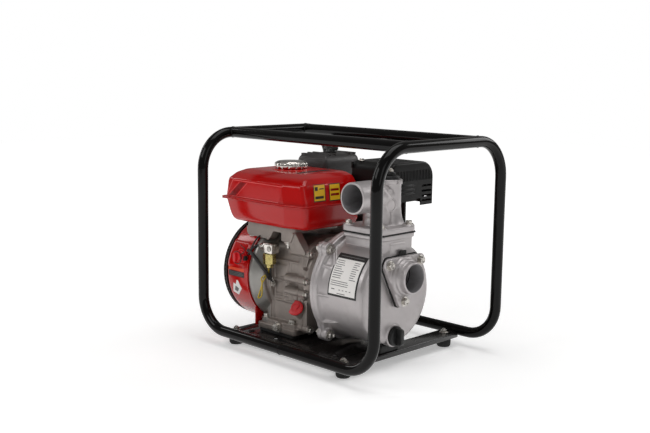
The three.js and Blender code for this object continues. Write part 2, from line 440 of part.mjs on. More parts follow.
let muffler = join(plateX(filleted([[48, 298, 14], [156, 298, 14], [156, 366, 28], [48, 366, 14]], 3), -20, 70),
  rodX(11, -39.7, -8, 69, 250, 16), rod(V(-14, 69, 250), V(0, 76, 308), 11, 16), rodX(9, 69, 76, 144, 330, 16));
const flangeM = CYL.clone().multiply(new THREE.Matrix4().makeRotationX(Math.PI / 2));
muffler = cut(muffler, rodX(7, 60, 90, 144, 330, 12));
node('muffler', muffler, 'black');
node('muffler_stay', join(box(52, 92, 236, 68, 96, 297.5), box(22, 92, 236, 68, 96, 244)), 'black');

// ---------------------------------------------------------------- near-side fittings
const SWITCH_X = -158, SWITCH_Z = 181.5;
node('engine_switch', cut(rodY(13, -150, -139.6, SWITCH_X, SWITCH_Z, 20), rodY(8.4, -155, -138, SWITCH_X, SWITCH_Z, 20)), 'black');
node('engine_switch_knob', join(rodY(7.8, -152, -141, SWITCH_X, SWITCH_Z, 20), rodY(10.5, -157, -150.3, SWITCH_X, SWITCH_Z, 20), box(SWITCH_X - 2.5, -163, SWITCH_Z - 9.5, SWITCH_X + 2.5, -156, SWITCH_Z + 9.5)), 'red');
node('oil_switch_body', join(box(-106, -131, 193, -82, -109, 214), rodX(8, -117.6, -105, -118, 203, 12)), 'chrome');
node('oil_switch_hex', rodZ(13.5, 13.5, 170, 192.7, -100, -120, 6), 'brass');
const fp = (k) => along(FILL_P, FILL_DIR, k);
const FQ = new THREE.Quaternion().setFromUnitVectors(V(0, 0, 1), FILL_DIR);
const fillHead = cut(rod(fp(11), fp(16), 15.5, 40), solid(new THREE.BoxGeometry(20, 40, 20), new THREE.Matrix4().compose(fp(13.5).add(V(-18, 0, 0)), FQ, V(1, 1, 1))));
node('oil_filler_plug', join(rod(fp(-16), fp(6), 8, 12), rod(fp(5.3), fp(11.5), 9.6, 16), rod(fp(-36), fp(-15), 2.5, 8), fillHead), 'red');

// ---------------------------------------------------------------- pump
const triLobe = (g) => filleted([[-54 - g, 22, 10 + g], [-43 - g, 38 + g, 9 + g], [43 + g, 38 + g, 9 + g], [54 + g, 22, 10 + g], [11 + g, -58 - g, 9 + g], [-11 - g, -58 - g, 9 + g]]
  .map(([u, v, r]) => [CRANK_Y + u, SUCT_Z + v, r]), 2);
const EARS = [[-112, 222], [-110, 57], [36, 222], [34, 57]];
let adapter = join(latheX([[0, 12.3], [60, 12.3], [60, 20], [52, 30], [104, 38], [107, 40], [107, PUMP_X0 - GAP], [0, PUMP_X0 - GAP]], CRANK_Y, CRANK_Z, 40),
  ...EARS.map(([y, z]) => rodX(12.5, 38, PUMP_X0 - GAP, y, z, 14)),
  ...EARS.map(([y, z]) => rod(V(42.5, y, z), V(42.5, CRANK_Y + (y - CRANK_Y) * 0.75, CRANK_Z + (z - CRANK_Z) * 0.75), 4.5, 8)));
adapter = cut(adapter, rodX(16.8, 0, 60, CRANK_Y, CRANK_Z, 20), latheX([[0, 32], [44, 32], [44, 50], [0, 50]], CRANK_Y, CRANK_Z, 24).intersect(rodX(30, 40, 50, CRANK_Y, CRANK_Z, 24)));
node('pump_adapter', adapter, 'pump');
node('mechanical_seal', latheX([[10, 49], [15.6, 49], [15.6, 42], [24, 42], [24, 52], [17, 56], [17, 68], [10, 68], [10, 49]], CRANK_Y, CRANK_Z, 24), 'steel');

let casing = join(
  latheX([[0, PUMP_X0], [108, PUMP_X0], [108, 58], [99.5, 61], [DRUM_R, 100], [97.5, 150], [95.5, 157], [89, 163], [80, PUMP_X1], [0, PUMP_X1]], CRANK_Y, CRANK_Z, 48),
  plateZ(rect(67, -81, 163, 5, 4, 1), 170, DISCH_Z),
  ...EARS.map(([y, z]) => rodX(12.5, PUMP_X0, 60, y, z, 14)),
  ...EARS.map(([y, z]) => plateX(filleted([[y - 8, z - 8, 2], [y + 8, z - 8, 2], [y + 8, z + 8, 2], [y - 8, z + 8, 2]], 1), PUMP_X0, 57)),
  plateX(triLobe(-1), PUMP_X1 - 8, PUMP_X1 + 3),
  rodX(21.5, 149.4, PUMP_X1 + 2, DRAIN_Y, DRAIN_Z, 28), // drain boss
);
for (const [y, z] of [[-38, 45], [-100, 78], [24, 78], [-128, 120], [52, 120]]) {
  casing = join(casing, plateX([[y - 1.5, z - 1.5], [y + 1.5, z - 1.5], [y + 1.5, z + 1.5], [y - 1.5, z + 1.5]], 58, 92));
}
casing = cut(casing,
  latheX([[0, PUMP_X0 - 1], [91, PUMP_X0 - 1], [92.5, 100], [91, 150], [84, 158], [74, 161], [0, 161]], CRANK_Y, CRANK_Z, 40),
  plateZ(rect(72, -76, 158, 0, 3, 1), 150, DISCH_Z + 1));
// cast inlet chamber behind the suction port, open to the impeller eye
casing = join(casing, cut(box(126, -72, 112, 162, -4, 214), box(130, -68, 116, 161.01, -8, 210)));
casing = cut(casing, rodX(23, 120, 140, CRANK_Y, CRANK_Z, 24),
  rodX(26, 150, PUMP_X1 + 5, CRANK_Y, SUCT_Z, 28),
  rodX(9, 130, PUMP_X1 + 5, DRAIN_Y, DRAIN_Z, 16),
);
node('pump_casing', casing, 'pump');

let volute = latheX([[30, 66], [82, 66], [82, 112], [28, 121], [28, 125.7], [23, 125.7], [23, 116], [77, 107], [77, 71], [30, 71], [30, 66]], CRANK_Y, CRANK_Z, 32);
volute = cut(volute, box(72, CRANK_Y + 20, CRANK_Z + 40, 116, CRANK_Y + 60, CRANK_Z + 90));
node('volute', volute, 'pump');
let impeller = join(latheX([[0, 104], [20, 104], [24, 92], [60, 86], [60, 82], [0, 82]], CRANK_Y, CRANK_Z, 32), rodX(12.5, 72, 84, CRANK_Y, CRANK_Z, 20));
for (let i = 0; i < 5; i++) {
  const pts = [];
  for (let k = 0; k <= 3; k++) { const r = 19 + 40 * k / 3, a = deg(72 * i - 23 * k); pts.push([r * Math.cos(a), r * Math.sin(a)]); }
  const back = pts.map(([x, y]) => { const r = Math.hypot(x, y), a = Math.atan2(y, x) + 3.4 / r; return [r * Math.cos(a), r * Math.sin(a)]; }).reverse();
  impeller = join(impeller, plateX([...pts, ...back].map(([u, v]) => [u + CRANK_Y, v + CRANK_Z]), 83, 105));
}
impeller = cut(impeller, rodX(9.9, 70, 84.4, CRANK_Y, CRANK_Z, 20), rodX(7.3, 80, 103.4, CRANK_Y, CRANK_Z, 16));
node('impeller', impeller, 'engine');

// suction port: gasket, flange, check valve flap
const G0 = PUMP_X1 + 3 + GAP;
node('suction_gasket', cut(join(plateX(triLobe(1.5), G0, G0 + 2), plateX([[CRANK_Y - 3, SUCT_Z + 33], [CRANK_Y + 15, SUCT_Z + 33], [CRANK_Y + 15, SUCT_Z + 47], [CRANK_Y - 3, SUCT_Z + 47]], G0, G0 + 2)), rodX(26.5, 160, 180, CRANK_Y, SUCT_Z, 28)), 'rubber');
const F0 = G0 + 2 + GAP;
let suction = join(plateX(triLobe(0), F0, F0 + 9), latheX([[0, F0], [37, F0], [37, F0 + 12], [33.5, F0 + 16], [33.5, F0 + 20], [PORT_R, F0 + 21], [PORT_R, 204], [PORT_R - 1.5, 205.5], [0, 205.5]], CRANK_Y, SUCT_Z, 40));
suction = cut(suction, rodX(PORT_BORE, 160, 210, CRANK_Y, SUCT_Z, 36));
node('suction_flange', suction, 'pump');
node('check_valve_flap', join(rodX(24, 155.5, 159, CRANK_Y, SUCT_Z, 24).intersect(box(150, -100, 100, 165, 50, 300)), rodX(18, 153, 155.6, CRANK_Y, SUCT_Z, 20)), 'rubber');

// discharge: gasket, elbow, priming plug
const DF = (g) => rect(63 - g, -88 - g, 166.5 + g, 12 + g, 10, 2);
const DZ = DISCH_Z + GAP;
node('discharge_gasket', cut(plateZ(DF(1.2), DZ, DZ + 1.8), plateZ(rect(74, -75, 156, -1, 3, 1), DZ - 1, DZ + 4)), 'rubber');
const DF0 = DZ + 1.8 + GAP;
let elbow = join(plateZ(DF(0), DF0, DF0 + 11), latheZ([[0, 260], [34, 260], [34, 268.5], [30, 274], [27, 284], [25.5, 300], [25.5, 346], [27, 348], [27, 353], [0, 353]], OUT_X, NECK_Y, 36),
  rodY(PORT_R, -112, -50, OUT_X, OUT_Z, 36), rodY(PORT_R, -50.1, NECK_Y, OUT_X, OUT_Z, 36, 25), rodZ(27, 20, 262, 306, OUT_X, -40, 28),
  rodX(13, OUT_X + 20, OUT_X + 27, NECK_Y, 306, 20), box(OUT_X - 34, NECK_Y - 5, 345, OUT_X + 34, NECK_Y + 5, 353));
elbow = cut(elbow, rodY(PORT_BORE, -115, -48, OUT_X, OUT_Z, 32), rodY(PORT_BORE, -48.1, NECK_Y, OUT_X, OUT_Z, 32, 21),
  rodZ(21, 21, 262, 345, OUT_X, NECK_Y, 28), rodZ(21, 16, 255, 310, OUT_X, -40, 24), rodZ(19.7, 19.7, 340, 360, OUT_X, NECK_Y, 24),
  plateZ(rect(80, -66, 150, -6, 3, 1), 250, 262.5));
node('discharge_elbow', elbow, 'pump');
node('priming_plug', join(rodZ(18.2, 18.2, 342, 353.4, OUT_X, NECK_Y, 24), rodZ(23, 21, 353.3, 359, OUT_X, NECK_Y, 24), box(OUT_X - 17, NECK_Y - 4, 358, OUT_X + 17, NECK_Y + 4, 367)), 'black');
node('drain_knob', join(rodX(8.6, 150, PUMP_X1 + 4, DRAIN_Y, DRAIN_Z, 16), rodX(19.5, PUMP_X1 + 2.3, PUMP_X1 + 9, DRAIN_Y, DRAIN_Z, 20, 17), box(PUMP_X1 + 8, DRAIN_Y - 4.5, DRAIN_Z - 17, PUMP_X1 + 23, DRAIN_Y + 4.5, DRAIN_Z + 17)), 'black');

export default pump;
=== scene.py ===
import bpy
import json
import math
import random
from mathutils import Matrix, Vector
from mathutils.bvhtree import BVHTree


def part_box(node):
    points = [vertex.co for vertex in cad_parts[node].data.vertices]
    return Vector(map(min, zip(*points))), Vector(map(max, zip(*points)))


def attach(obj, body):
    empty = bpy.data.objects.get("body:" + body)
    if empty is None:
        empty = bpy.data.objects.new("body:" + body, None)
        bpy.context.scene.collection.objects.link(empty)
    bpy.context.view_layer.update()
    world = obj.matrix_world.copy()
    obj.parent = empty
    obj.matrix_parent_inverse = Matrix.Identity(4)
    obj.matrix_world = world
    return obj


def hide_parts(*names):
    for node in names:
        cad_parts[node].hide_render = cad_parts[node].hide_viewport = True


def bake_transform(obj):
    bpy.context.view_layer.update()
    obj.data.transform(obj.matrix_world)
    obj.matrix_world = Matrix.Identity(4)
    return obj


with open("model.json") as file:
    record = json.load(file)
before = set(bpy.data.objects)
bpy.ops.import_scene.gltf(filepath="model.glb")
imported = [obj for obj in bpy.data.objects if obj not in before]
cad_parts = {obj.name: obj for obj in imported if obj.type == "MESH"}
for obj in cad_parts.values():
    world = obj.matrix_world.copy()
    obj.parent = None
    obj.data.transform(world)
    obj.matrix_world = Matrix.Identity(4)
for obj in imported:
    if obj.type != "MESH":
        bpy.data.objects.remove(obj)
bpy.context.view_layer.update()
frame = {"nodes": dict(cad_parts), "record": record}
NODES = frame["nodes"]
BODY_OF = {}
for _b, _ns in frame["record"]["behaviour"]["bodies"].items():
    for _n in _ns:
        BODY_OF[_n] = _b
SLOT_OF = {s["node"]: s["material_slot"] for s in frame["record"]["subparts"]}


def mm(node):
    """Lowest and highest corner of a CAD node in millimetres."""
    lo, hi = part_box(node)
    return lo * 1000, hi * 1000


# ------------------------------------------------------------------ driving places, mm, from the CAD boxes
_lo, _hi = mm("frame_hoop_pump_end")
TUBE_R = 10.75
HOOP_X = _hi.x - TUBE_R
HOOP_Y = _hi.y - TUBE_R
Z_TOP = _hi.z - TUBE_R
Z_BOT = _lo.z + TUBE_R
BEND_BOT, BEND_TOP = 65.0, 72.0
_lo, _hi = mm("top_rail_far")
RAIL_Y = (_lo.y + _hi.y) / 2
_lo, _hi = mm("fan_shroud")
_rl, _rh = mm("recoil_housing")
CY, CZ = (_rl.y + _rh.y) / 2, (_rl.z + _rh.z) / 2   # crankshaft axis
CY, CZ = round(CY), round(CZ, 1)
SHROUD_R = _hi.y - CY
SHROUD_R = 104.5
_lo, _hi = mm("priming_plug")
OUT_X, NECK_Y = (_lo.x + _hi.x) / 2, (_lo.y + _hi.y) / 2
_lo, _hi = mm("suction_flange")
SUCT_Z, SUCT_X1 = 179.0, _hi.x
OUT_Z = 323.5
_lo, _hi = mm("fuel_cap")
CAP_X, CAP_Y, CAP_TOP = (_lo.x + _hi.x) / 2, (_lo.y + _hi.y) / 2, _hi.z
_lo, _hi = mm("drain_knob")
DRAIN_Y, DRAIN_Z, DRAIN_X1 = (_lo.y + _hi.y) / 2, (_lo.z + _hi.z) / 2, _hi.x
_lo, _hi = mm("air_cleaner_knob")
ACK_X, ACK_Y = (_lo.x + _hi.x) / 2, (_lo.y + _hi.y) / 2

# ------------------------------------------------------------------ materials


def srgb(r, g, b):
    return tuple((c / 255 / 12.92 if c / 255 <= 0.04045 else ((c / 255 + 0.055) / 1.055) ** 2.4) for c in (r, g, b)) + (1.0,)


class Mat:
    """A small builder round one Principled material."""

    def __init__(self, name):
        self.m = bpy.data.materials.new(name)
        self.m.use_nodes = True
        self.t = self.m.node_tree
        self.t.nodes.clear()
        self.out = self.n("ShaderNodeOutputMaterial")
        self.p = self.n("ShaderNodeBsdfPrincipled")
        self.link(self.p.outputs[0], self.out.inputs[0])
        self.co = None

    def n(self, kind, **props):
        node = self.t.nodes.new(kind)
        for k, v in props.items():
            setattr(node, k, v)
        return node

    def link(self, a, b):
        self.t.links.new(a, b)

    def coords(self):
        if self.co is None:
            self.co = self.n("ShaderNodeTexCoord").outputs["Object"]
        return self.co

    def noise(self, scale, detail=3.0, rough=0.55, stretch=None, distortion=0.0):
        node = self.n("ShaderNodeTexNoise")
        node.inputs["Scale"].default_value = scale
        node.inputs["Detail"].default_value = detail
        node.inputs["Roughness"].default_value = rough
        node.inputs["Distortion"].default_value = distortion
        if stretch:
            mp = self.n("ShaderNodeMapping")
            mp.inputs["Scale"].default_value = stretch
            self.link(self.coords(), mp.inputs["Vector"])
            self.link(mp.outputs[0], node.inputs["Vector"])
        else:
            self.link(self.coords(), node.inputs["Vector"])
        return node.outputs["Fac"]

    def voronoi(self, scale, feature="F1"):
        node = self.n("ShaderNodeTexVoronoi", feature=feature)
        node.inputs["Scale"].default_value = scale
        self.link(self.coords(), node.inputs["Vector"])
        return node.outputs["Distance"]

    def ramp(self, fac, stops):
        node = self.n("ShaderNodeValToRGB")
        el = node.color_ramp.elements
        while len(el) > len(stops):
            el.remove(el[-1])
        while len(el) < len(stops):
            el.new(1.0)
        for e, (pos, col) in zip(el, stops):
            e.position = pos
            e.color = col if len(col) == 4 else (*col, 1.0)
        self.link(fac, node.inputs["Fac"])
        return node.outputs["Color"]

    def range(self, fac, a, b, lo=0.3, hi=0.7):
        node = self.n("ShaderNodeMapRange")
        node.inputs["From Min"].default_value = lo
        node.inputs["From Max"].default_value = hi
        node.inputs["To Min"].default_value = a
        node.inputs["To Max"].default_value = b
        self.link(fac, node.inputs["Value"])
        return node.outputs[0]

    def mix(self, fac, a, b, blend="MIX"):
        node = self.n("ShaderNodeMix", data_type="RGBA", blend_type=blend)
        for sock, val in ((node.inputs["Factor"], fac), (node.inputs[6], a), (node.inputs[7], b)):
            if isinstance(val, bpy.types.NodeSocket):
                self.link(val, sock)
            else:
                sock.default_value = val
        return node.outputs[2]

    def bump(self, height, strength, distance=0.0005, chain=None):
        node = self.n("ShaderNodeBump")
        node.inputs["Strength"].default_value = strength
        node.inputs["Distance"].default_value = distance
        self.link(height, node.inputs["Height"])
        if chain is not None:
            self.link(chain, node.inputs["Normal"])
        return node.outputs["Normal"]

    def edges(self, lo=0.515, hi=0.56):
        """0 on flats, towards 1 on convex edges."""
        geo = self.n("ShaderNodeNewGeometry")
        return self.range(geo.outputs["Pointiness"], 0.0, 1.0, lo, hi)

    def set(self, **values):
        for k, v in values.items():
            sock = self.p.inputs[k.replace("_", " ")]
            if isinstance(v, bpy.types.NodeSocket):
                self.link(v, sock)
            else:
                sock.default_value = v
        return self


def scaled(c, k):
    return tuple(min(1.0, x * k) for x in c[:3]) + (1.0,)


def paint(name, col, rough=0.22, coat=0.6, peel=0.10, var=0.10, dust=0.04):
    m = Mat(name)
    big = m.noise(9, 3)
    base = m.ramp(big, [(0.3, scaled(col, 1 - var)), (0.7, scaled(col, 1 + var))])
    spots = m.noise(260, 4, 0.7)
    lum = sum(col[:3]) / 3
    base = m.mix(m.range(spots, 0.0, dust, 0.55, 0.75), base, (lum * 0.4 + 0.35, lum * 0.4 + 0.33, lum * 0.4 + 0.32, 1))
    wear = m.noise(60, 5, 0.65)
    r = m.range(wear, rough * 0.82, rough * 1.35, 0.3, 0.75)
    n = m.bump(m.noise(420, 2), peel, 0.0004)
    m.set(Base_Color=base, Roughness=r, Normal=n, Coat_Weight=coat, Coat_Roughness=0.06)
    return m.m


def cast(name, col, metal=0.75, rough=0.42, grain=0.35, var=0.08, edge=0.35):
    m = Mat(name)
    big = m.noise(14, 4, 0.6)
    base = m.ramp(big, [(0.3, scaled(col, 1 - var)), (0.7, scaled(col, 1 + var))])
    stain = m.noise(38, 5, 0.7)
    base = m.mix(m.range(stain, 0.0, 0.35, 0.55, 0.8), base, scaled((col[0] * 0.93, col[1] * 0.9, col[2] * 0.86), 0.75))
    # convex edges painted brighter (colour scaled 1.35 by the edge amount): a painted highlight along the edges
    base = m.mix(m.range(m.edges(), 0.0, edge, 0.0, 1.0), base, scaled(col, 1.35))
    fine = m.noise(1500, 3, 0.6)
    r = m.range(m.noise(90, 4), rough * 0.85, rough * 1.25)
    n = m.bump(fine, grain, 0.00025)
    n = m.bump(m.noise(320, 3), grain * 0.7, 0.0005, n)
    m.set(Base_Color=base, Roughness=r, Normal=n, Metallic=metal)
    return m.m


def machined(name, col, rough=0.28, lines=1400, metal=1.0, strength=0.12):
    m = Mat(name)
    big = m.noise(30, 3)
    base = m.ramp(big, [(0.3, scaled(col, 0.9)), (0.7, scaled(col, 1.08))])
    turn = m.noise(lines, 2, 0.5, stretch=(1.0, 0.06, 0.06))
    r = m.range(turn, rough * 0.8, rough * 1.3)
    n = m.bump(turn, strength, 0.0002)
    m.set(Base_Color=base, Roughness=r, Normal=n, Metallic=metal)
    return m.m


def plated(name, col, rough=0.2, metal=1.0, var=0.12, grain=0.12):
    m = Mat(name)
    big = m.noise(70, 4)
    base = m.ramp(big, [(0.3, scaled(col, 1 - var)), (0.7, scaled(col, 1 + var))])
    r = m.range(m.noise(300, 4), rough * 0.7, rough * 1.6)
    n = m.bump(m.noise(900, 2), grain, 0.0002)
    m.set(Base_Color=base, Roughness=r, Normal=n, Metallic=metal)
    return m.m


def plastic(name, col, rough=0.45, grain=0.2, scale=1600, var=0.12, spec=0.5, dust=0.05):
    m = Mat(name)
    big = m.noise(20, 3)
    base = m.ramp(big, [(0.3, scaled(col, 1 - var)), (0.7, scaled(col, 1 + var))])
    d = m.noise(140, 5, 0.7)
    base = m.mix(m.range(d, 0.0, dust, 0.5, 0.75), base, (0.42, 0.40, 0.38, 1))
    r = m.range(m.noise(70, 4), rough * 0.85, min(1.0, rough * 1.25))
    n = m.bump(m.noise(scale, 2), grain, 0.00025)
    m.set(Base_Color=base, Roughness=r, Normal=n, Specular_IOR_Level=spec)
    return m.m


M = {}
M["frame"] = paint("frame_black_powder_coat", (0.0030, 0.0027, 0.0026, 1), rough=0.10, coat=0.14, peel=0.03, var=0.15, dust=0.002)
M["frame"].node_tree.nodes["Principled BSDF"].inputs["Specular IOR Level"].default_value = 0.11
M["plate"] = paint("plate_black_gloss", (0.008, 0.007, 0.0068, 1), rough=0.22, coat=0.2, peel=0.05, var=0.15, dust=0.006)
M["plate"].node_tree.nodes["Principled BSDF"].inputs["Specular IOR Level"].default_value = 0.45
M["red"] = paint("red_gloss_paint", srgb(178, 4, 3), rough=0.19, coat=0.28, peel=0.04, var=0.04, dust=0.002)
M["red"].node_tree.nodes["Principled BSDF"].inputs["Specular IOR Level"].default_value = 0.24
M["red_plastic"] = plastic("red_knob_plastic", srgb(200, 14, 24), rough=0.32, grain=0.1, dust=0.01)
M["engine"] = cast("engine_die_cast", srgb(146, 137, 131), metal=0.55, rough=0.44, grain=0.3)
# bell: smoother, more metallic copy of the engine casting, its brighter tone a painted highlight for light from the
# left
M["bell"] = cast("bell_die_cast_painted_highlight", srgb(150, 148, 144), metal=0.75, rough=0.33, grain=0.2)
M["pump"] = cast("pump_cast_aluminium", srgb(182, 177, 177), metal=0.72, rough=0.40, grain=0.32, var=0.05, edge=0.25)
M["machined"] = machined("machined_aluminium", srgb(158, 156, 158), rough=0.42, lines=700, metal=0.5, strength=0.03)
M["zinc"] = plated("zinc_plated_steel", srgb(196, 192, 186), rough=0.26)
M["chrome"] = plated("chrome", srgb(215, 210, 204), rough=0.16, var=0.04, grain=0.03)
M["steel"] = plated("steel", srgb(160, 158, 155), rough=0.34)
M["brass"] = plated("brass", srgb(186, 172, 112), rough=0.22)
M["shield"] = plastic("muffler_heat_black", (0.0040, 0.0037, 0.0035, 1), rough=0.38, grain=0.2, scale=1200, dust=0.004, spec=0.22)
M["airbox"] = plastic("air_cleaner_plastic", srgb(46, 43, 43), rough=0.42, grain=0.3, scale=1300, dust=0.03)
M["black"] = plastic("black_plastic", (0.008, 0.008, 0.008, 1), rough=0.36, grain=0.15, dust=0.012, spec=0.4)
M["rubber"] = plastic("black_rubber", (0.014, 0.014, 0.014, 1), rough=0.72, grain=0.35, scale=900, dust=0.08)
M["gasket"] = plastic("gasket_rubber", (0.010, 0.010, 0.010, 1), rough=0.65, grain=0.2, dust=0.02)
M["foam"] = plastic("filter_foam", srgb(78, 84, 74), rough=0.95, grain=1.0, scale=700, dust=0.0)
M["wire_black"] = plastic("wire_black", (0.013, 0.012, 0.012, 1), rough=0.42, grain=0.1, dust=0.02)
M["wire_yellow"] = plastic("wire_yellow", srgb(206, 176, 48), rough=0.42, grain=0.1, dust=0.02)
# near-black matte film: painted shade for the dark interior seen through the recoil cover slots
M["dark"] = plastic("recess_painted_shade", (0.006, 0.006, 0.006, 1), rough=0.8, grain=0.1, dust=0.0)
M["lab_white"] = plastic("label_white_film", srgb(236, 233, 230), rough=0.4, grain=0.03, var=0.02, dust=0.0)
M["lab_black"] = plastic("label_black_ink", srgb(24, 22, 22), rough=0.4, grain=0.03, dust=0.0)
M["lab_grey"] = plastic("label_grey_ink", srgb(96, 94, 94), rough=0.4, grain=0.03, dust=0.0)
M["lab_yellow"] = plastic("label_yellow_film", srgb(226, 178, 16), rough=0.36, grain=0.03, var=0.03, dust=0.0)
M["lab_orange"] = plastic("label_orange_film", srgb(214, 62, 14), rough=0.36, grain=0.03, dust=0.0)
M["lab_red"] = plastic("label_red_film", srgb(184, 2, 4), rough=0.22, grain=0.02, var=0.03, dust=0.0)
M["lab_darkred"] = plastic("label_dark_red_film", srgb(124, 4, 8), rough=0.26, grain=0.02, dust=0.0)
M["lab_line"] = plastic("label_pale_red_line", srgb(222, 92, 92), rough=0.3, grain=0.02, dust=0.0)

# ------------------------------------------------------------------ mesh code, all in millimetres


def fillet(points, steps=4, closed=True):
    """Polygon or line [(x, y[, r])] with its corners rounded."""
    out, n = [], len(points)
    for i, p in enumerate(points):
        x, y = p[0], p[1]
        r = p[2] if len(p) > 2 else 0
        if not r or (not closed and i in (0, n - 1)):
            out.append((x, y))
            continue
        a, b = points[i - 1], points[(i + 1) % n]
        u = Vector((a[0] - x, a[1] - y))
        v = Vector((b[0] - x, b[1] - y))
        lu, lv = u.length, v.length
        u.normalize()
        v.normalize()
        half = math.acos(max(-1, min(1, u.dot(v)))) / 2
        if half > math.radians(89.5):
            out.append((x, y))
            continue
        t = min(r / math.tan(half), lu * 0.49, lv * 0.49)
        r = t * math.tan(half)
        c = Vector((x, y)) + (u + v).normalized() * (r / math.sin(half))
        p0, p1 = Vector((x, y)) + u * t - c, Vector((x, y)) + v * t - c
        a0, a1 = math.atan2(p0.y, p0.x), math.atan2(p1.y, p1.x)
        while a1 - a0 > math.pi:
            a1 -= 2 * math.pi
        while a1 - a0 < -math.pi:
            a1 += 2 * math.pi
        for k in range(steps + 1):
            w = a0 + (a1 - a0) * k / steps
            out.append((c.x + r * math.cos(w), c.y + r * math.sin(w)))
    return out


def rect(x0, y0, x1, y1, r, steps=5):
    return fillet([(x0, y0, r), (x1, y0, r), (x1, y1, r), (x0, y1, r)], steps)


def skin(rings, caps=True, loop=False):
    """Closed skin through rings of equal length. A ring of one point is a pole."""
    v, f, at = [], [], []
    for r in rings:
        at.append((len(v), len(r)))
        v += [tuple(p) for p in r]
    n = max(c for _, c in at)
    pairs = list(zip(at, at[1:])) + ([(at[-1], at[0])] if loop else [])
    for (a, na), (b, nb) in pairs:
        for i in range(n):
            j = (i + 1) % n
            if na == 1:
                f.append((a, b + j, b + i))
            elif nb == 1:
                f.append((a + i, a + j, b))
            else:
                f.append((a + i, a + j, b + j, b + i))
    if caps and not loop:
        if at[0][1] > 1:
            f.append(tuple(range(n))[::-1])
        if at[-1][1] > 1:
            f.append(tuple(at[-1][0] + i for i in range(n)))
    return v, f


def place(geo, matrix):
    v, f = geo
    return [tuple(matrix @ Vector(p)) for p in v], f


def axes(x, y, z, o=(0, 0, 0)):
    return Matrix(((x[0], y[0], z[0], o[0]), (x[1], y[1], z[1], o[1]), (x[2], y[2], z[2], o[2]), (0, 0, 0, 1)))


ALONG = {
    "z": axes((1, 0, 0), (0, 1, 0), (0, 0, 1)),
    "x": axes((0, 1, 0), (0, 0, 1), (1, 0, 0)),
    "y": axes((1, 0, 0), (0, 0, 1), (0, -1, 0)),   # local z runs to -Y
}


def flip(geo):
    v, f = geo
    return v, [tuple(reversed(q)) for q in f]


def volume(geo):
    v, f = geo
    s = 0.0
    for q in f:
        a = Vector(v[q[0]])
        for i in range(1, len(q) - 1):
            s += a.dot(Vector(v[q[i]]).cross(Vector(v[q[i + 1]])))
    return s / 6


def outward(geo):
    return geo if volume(geo) >= 0 else flip(geo)


def prism(poly, axis, a, b, m=None):
    """Polygon extruded along an axis: poly in (Y, Z) for x, (X, Z) for y, (X, Y) for z."""
    mat = ALONG[axis]
    if axis == "y":
        a, b = -b, -a
    g = skin([[(x, y, a) for x, y in poly], [(x, y, b) for x, y in poly]])
    g = place(g, mat)
    if m is not None:
        g = place(g, m)
    return outward(g)


def box(x0, y0, z0, x1, y1, z1, m=None):
    return prism([(x0, y0), (x1, y0), (x1, y1), (x0, y1)], "z", z0, z1, m)


def lathe(profile, axis, c=(0, 0), n=64, m=None, mod=None):
    """Profile [(r, h)] turned about an axis through c; mod(angle, r, h) may change the radius."""
    rings = []
    for r, h in profile:
        if r < 1e-6:
            rings.append([(0, 0, h)])
        else:
            ring = []
            for i in range(n):
                w = 2 * math.pi * i / n
                q = mod(w, r, h) if mod else r
                ring.append((q * math.cos(w), q * math.sin(w), h))
            rings.append(ring)
    closed_loop = profile[0] == profile[-1] and profile[0][0] > 1e-6
    if closed_loop:
        rings = rings[:-1]
    g = skin(rings, loop=closed_loop)
    if axis == "y":   # heights are Y values here
        g = place(g, axes((1, 0, 0), (0, 0, 1), (0, 1, 0)))
        g = place(g, Matrix.Translation((c[0], 0, c[1])))
    elif axis == "x":
        g = place(place(g, ALONG["x"]), Matrix.Translation((0, c[0], c[1])))
    else:
        g = place(g, Matrix.Translation((c[0], c[1], 0)))
    if m is not None:
        g = place(g, m)
    return outward(g)


def rod(axis, r, a, b, c, n=32, r1=None, ch=0.0):
    """Cylinder or cone along an axis from a to b, with chamfer ch at both ends."""
    r1 = r if r1 is None else r1
    if ch:
        prof = [(0, a), (r - ch, a), (r, a + ch), (r1, b - ch), (r1 - ch, b), (0, b)]
    else:
        prof = [(0, a), (r, a), (r1, b), (0, b)]
    return lathe(prof, axis, c, n)


def toward(p, d, up=(0, 0, 1)):
    """Frame at p whose local z runs along d."""
    z = Vector(d).normalized()
    u = Vector(up)
    if abs(z.dot(u)) > 0.99:
        u = Vector((1, 0, 0))
    x = u.cross(z).normalized()
    return axes(x, z.cross(x), z, p)


def rodpp(p, q, r, n=24, r1=None):
    p, q = Vector(p), Vector(q)
    r1 = r if r1 is None else r1
    L = (q - p).length
    return place(lathe([(0, 0), (r, 0), (r1, L), (0, L)], "z", n=n), toward(p, q - p))


def tube(points, r, n=16, closed=False, radii=None):
    pts = [Vector(p) for p in points]
    N = len(pts)
    tan = []
    for i in range(N):
        a = pts[i - 1] if (i or closed) else pts[i]
        b = pts[(i + 1) % N] if (i < N - 1 or closed) else pts[i]
        tan.append((b - a).normalized())
    u = tan[0].orthogonal().normalized()
    rings = []
    for i in range(N):
        u = (u - tan[i] * u.dot(tan[i])).normalized()
        w = tan[i].cross(u)
        rr = radii[i] if radii else r
        rings.append([tuple(pts[i] + (u * math.cos(2 * math.pi * k / n) + w * math.sin(2 * math.pi * k / n)) * rr) for k in range(n)])
    return outward(skin(rings, loop=closed))


def spline(points, per=8, closed=False):
    """Catmull-Rom line through points."""
    P = [Vector(p) for p in points]
    n = len(P)
    out = []
    for i in range(n if closed else n - 1):
        p0 = P[(i - 1) % n] if (closed or i) else P[0] * 2 - P[1]
        p1, p2 = P[i], P[(i + 1) % n]
        p3 = P[(i + 2) % n] if (closed or i + 2 < n) else P[-1] * 2 - P[-2]
        for k in range(per):
            t = k / per
            out.append(0.5 * ((2 * p1) + (p2 - p0) * t + (2 * p0 - 5 * p1 + 4 * p2 - p3) * t * t + (3 * p1 - p0 - 3 * p2 + p3) * t ** 3))
    if not closed:
        out.append(P[-1])
    return out


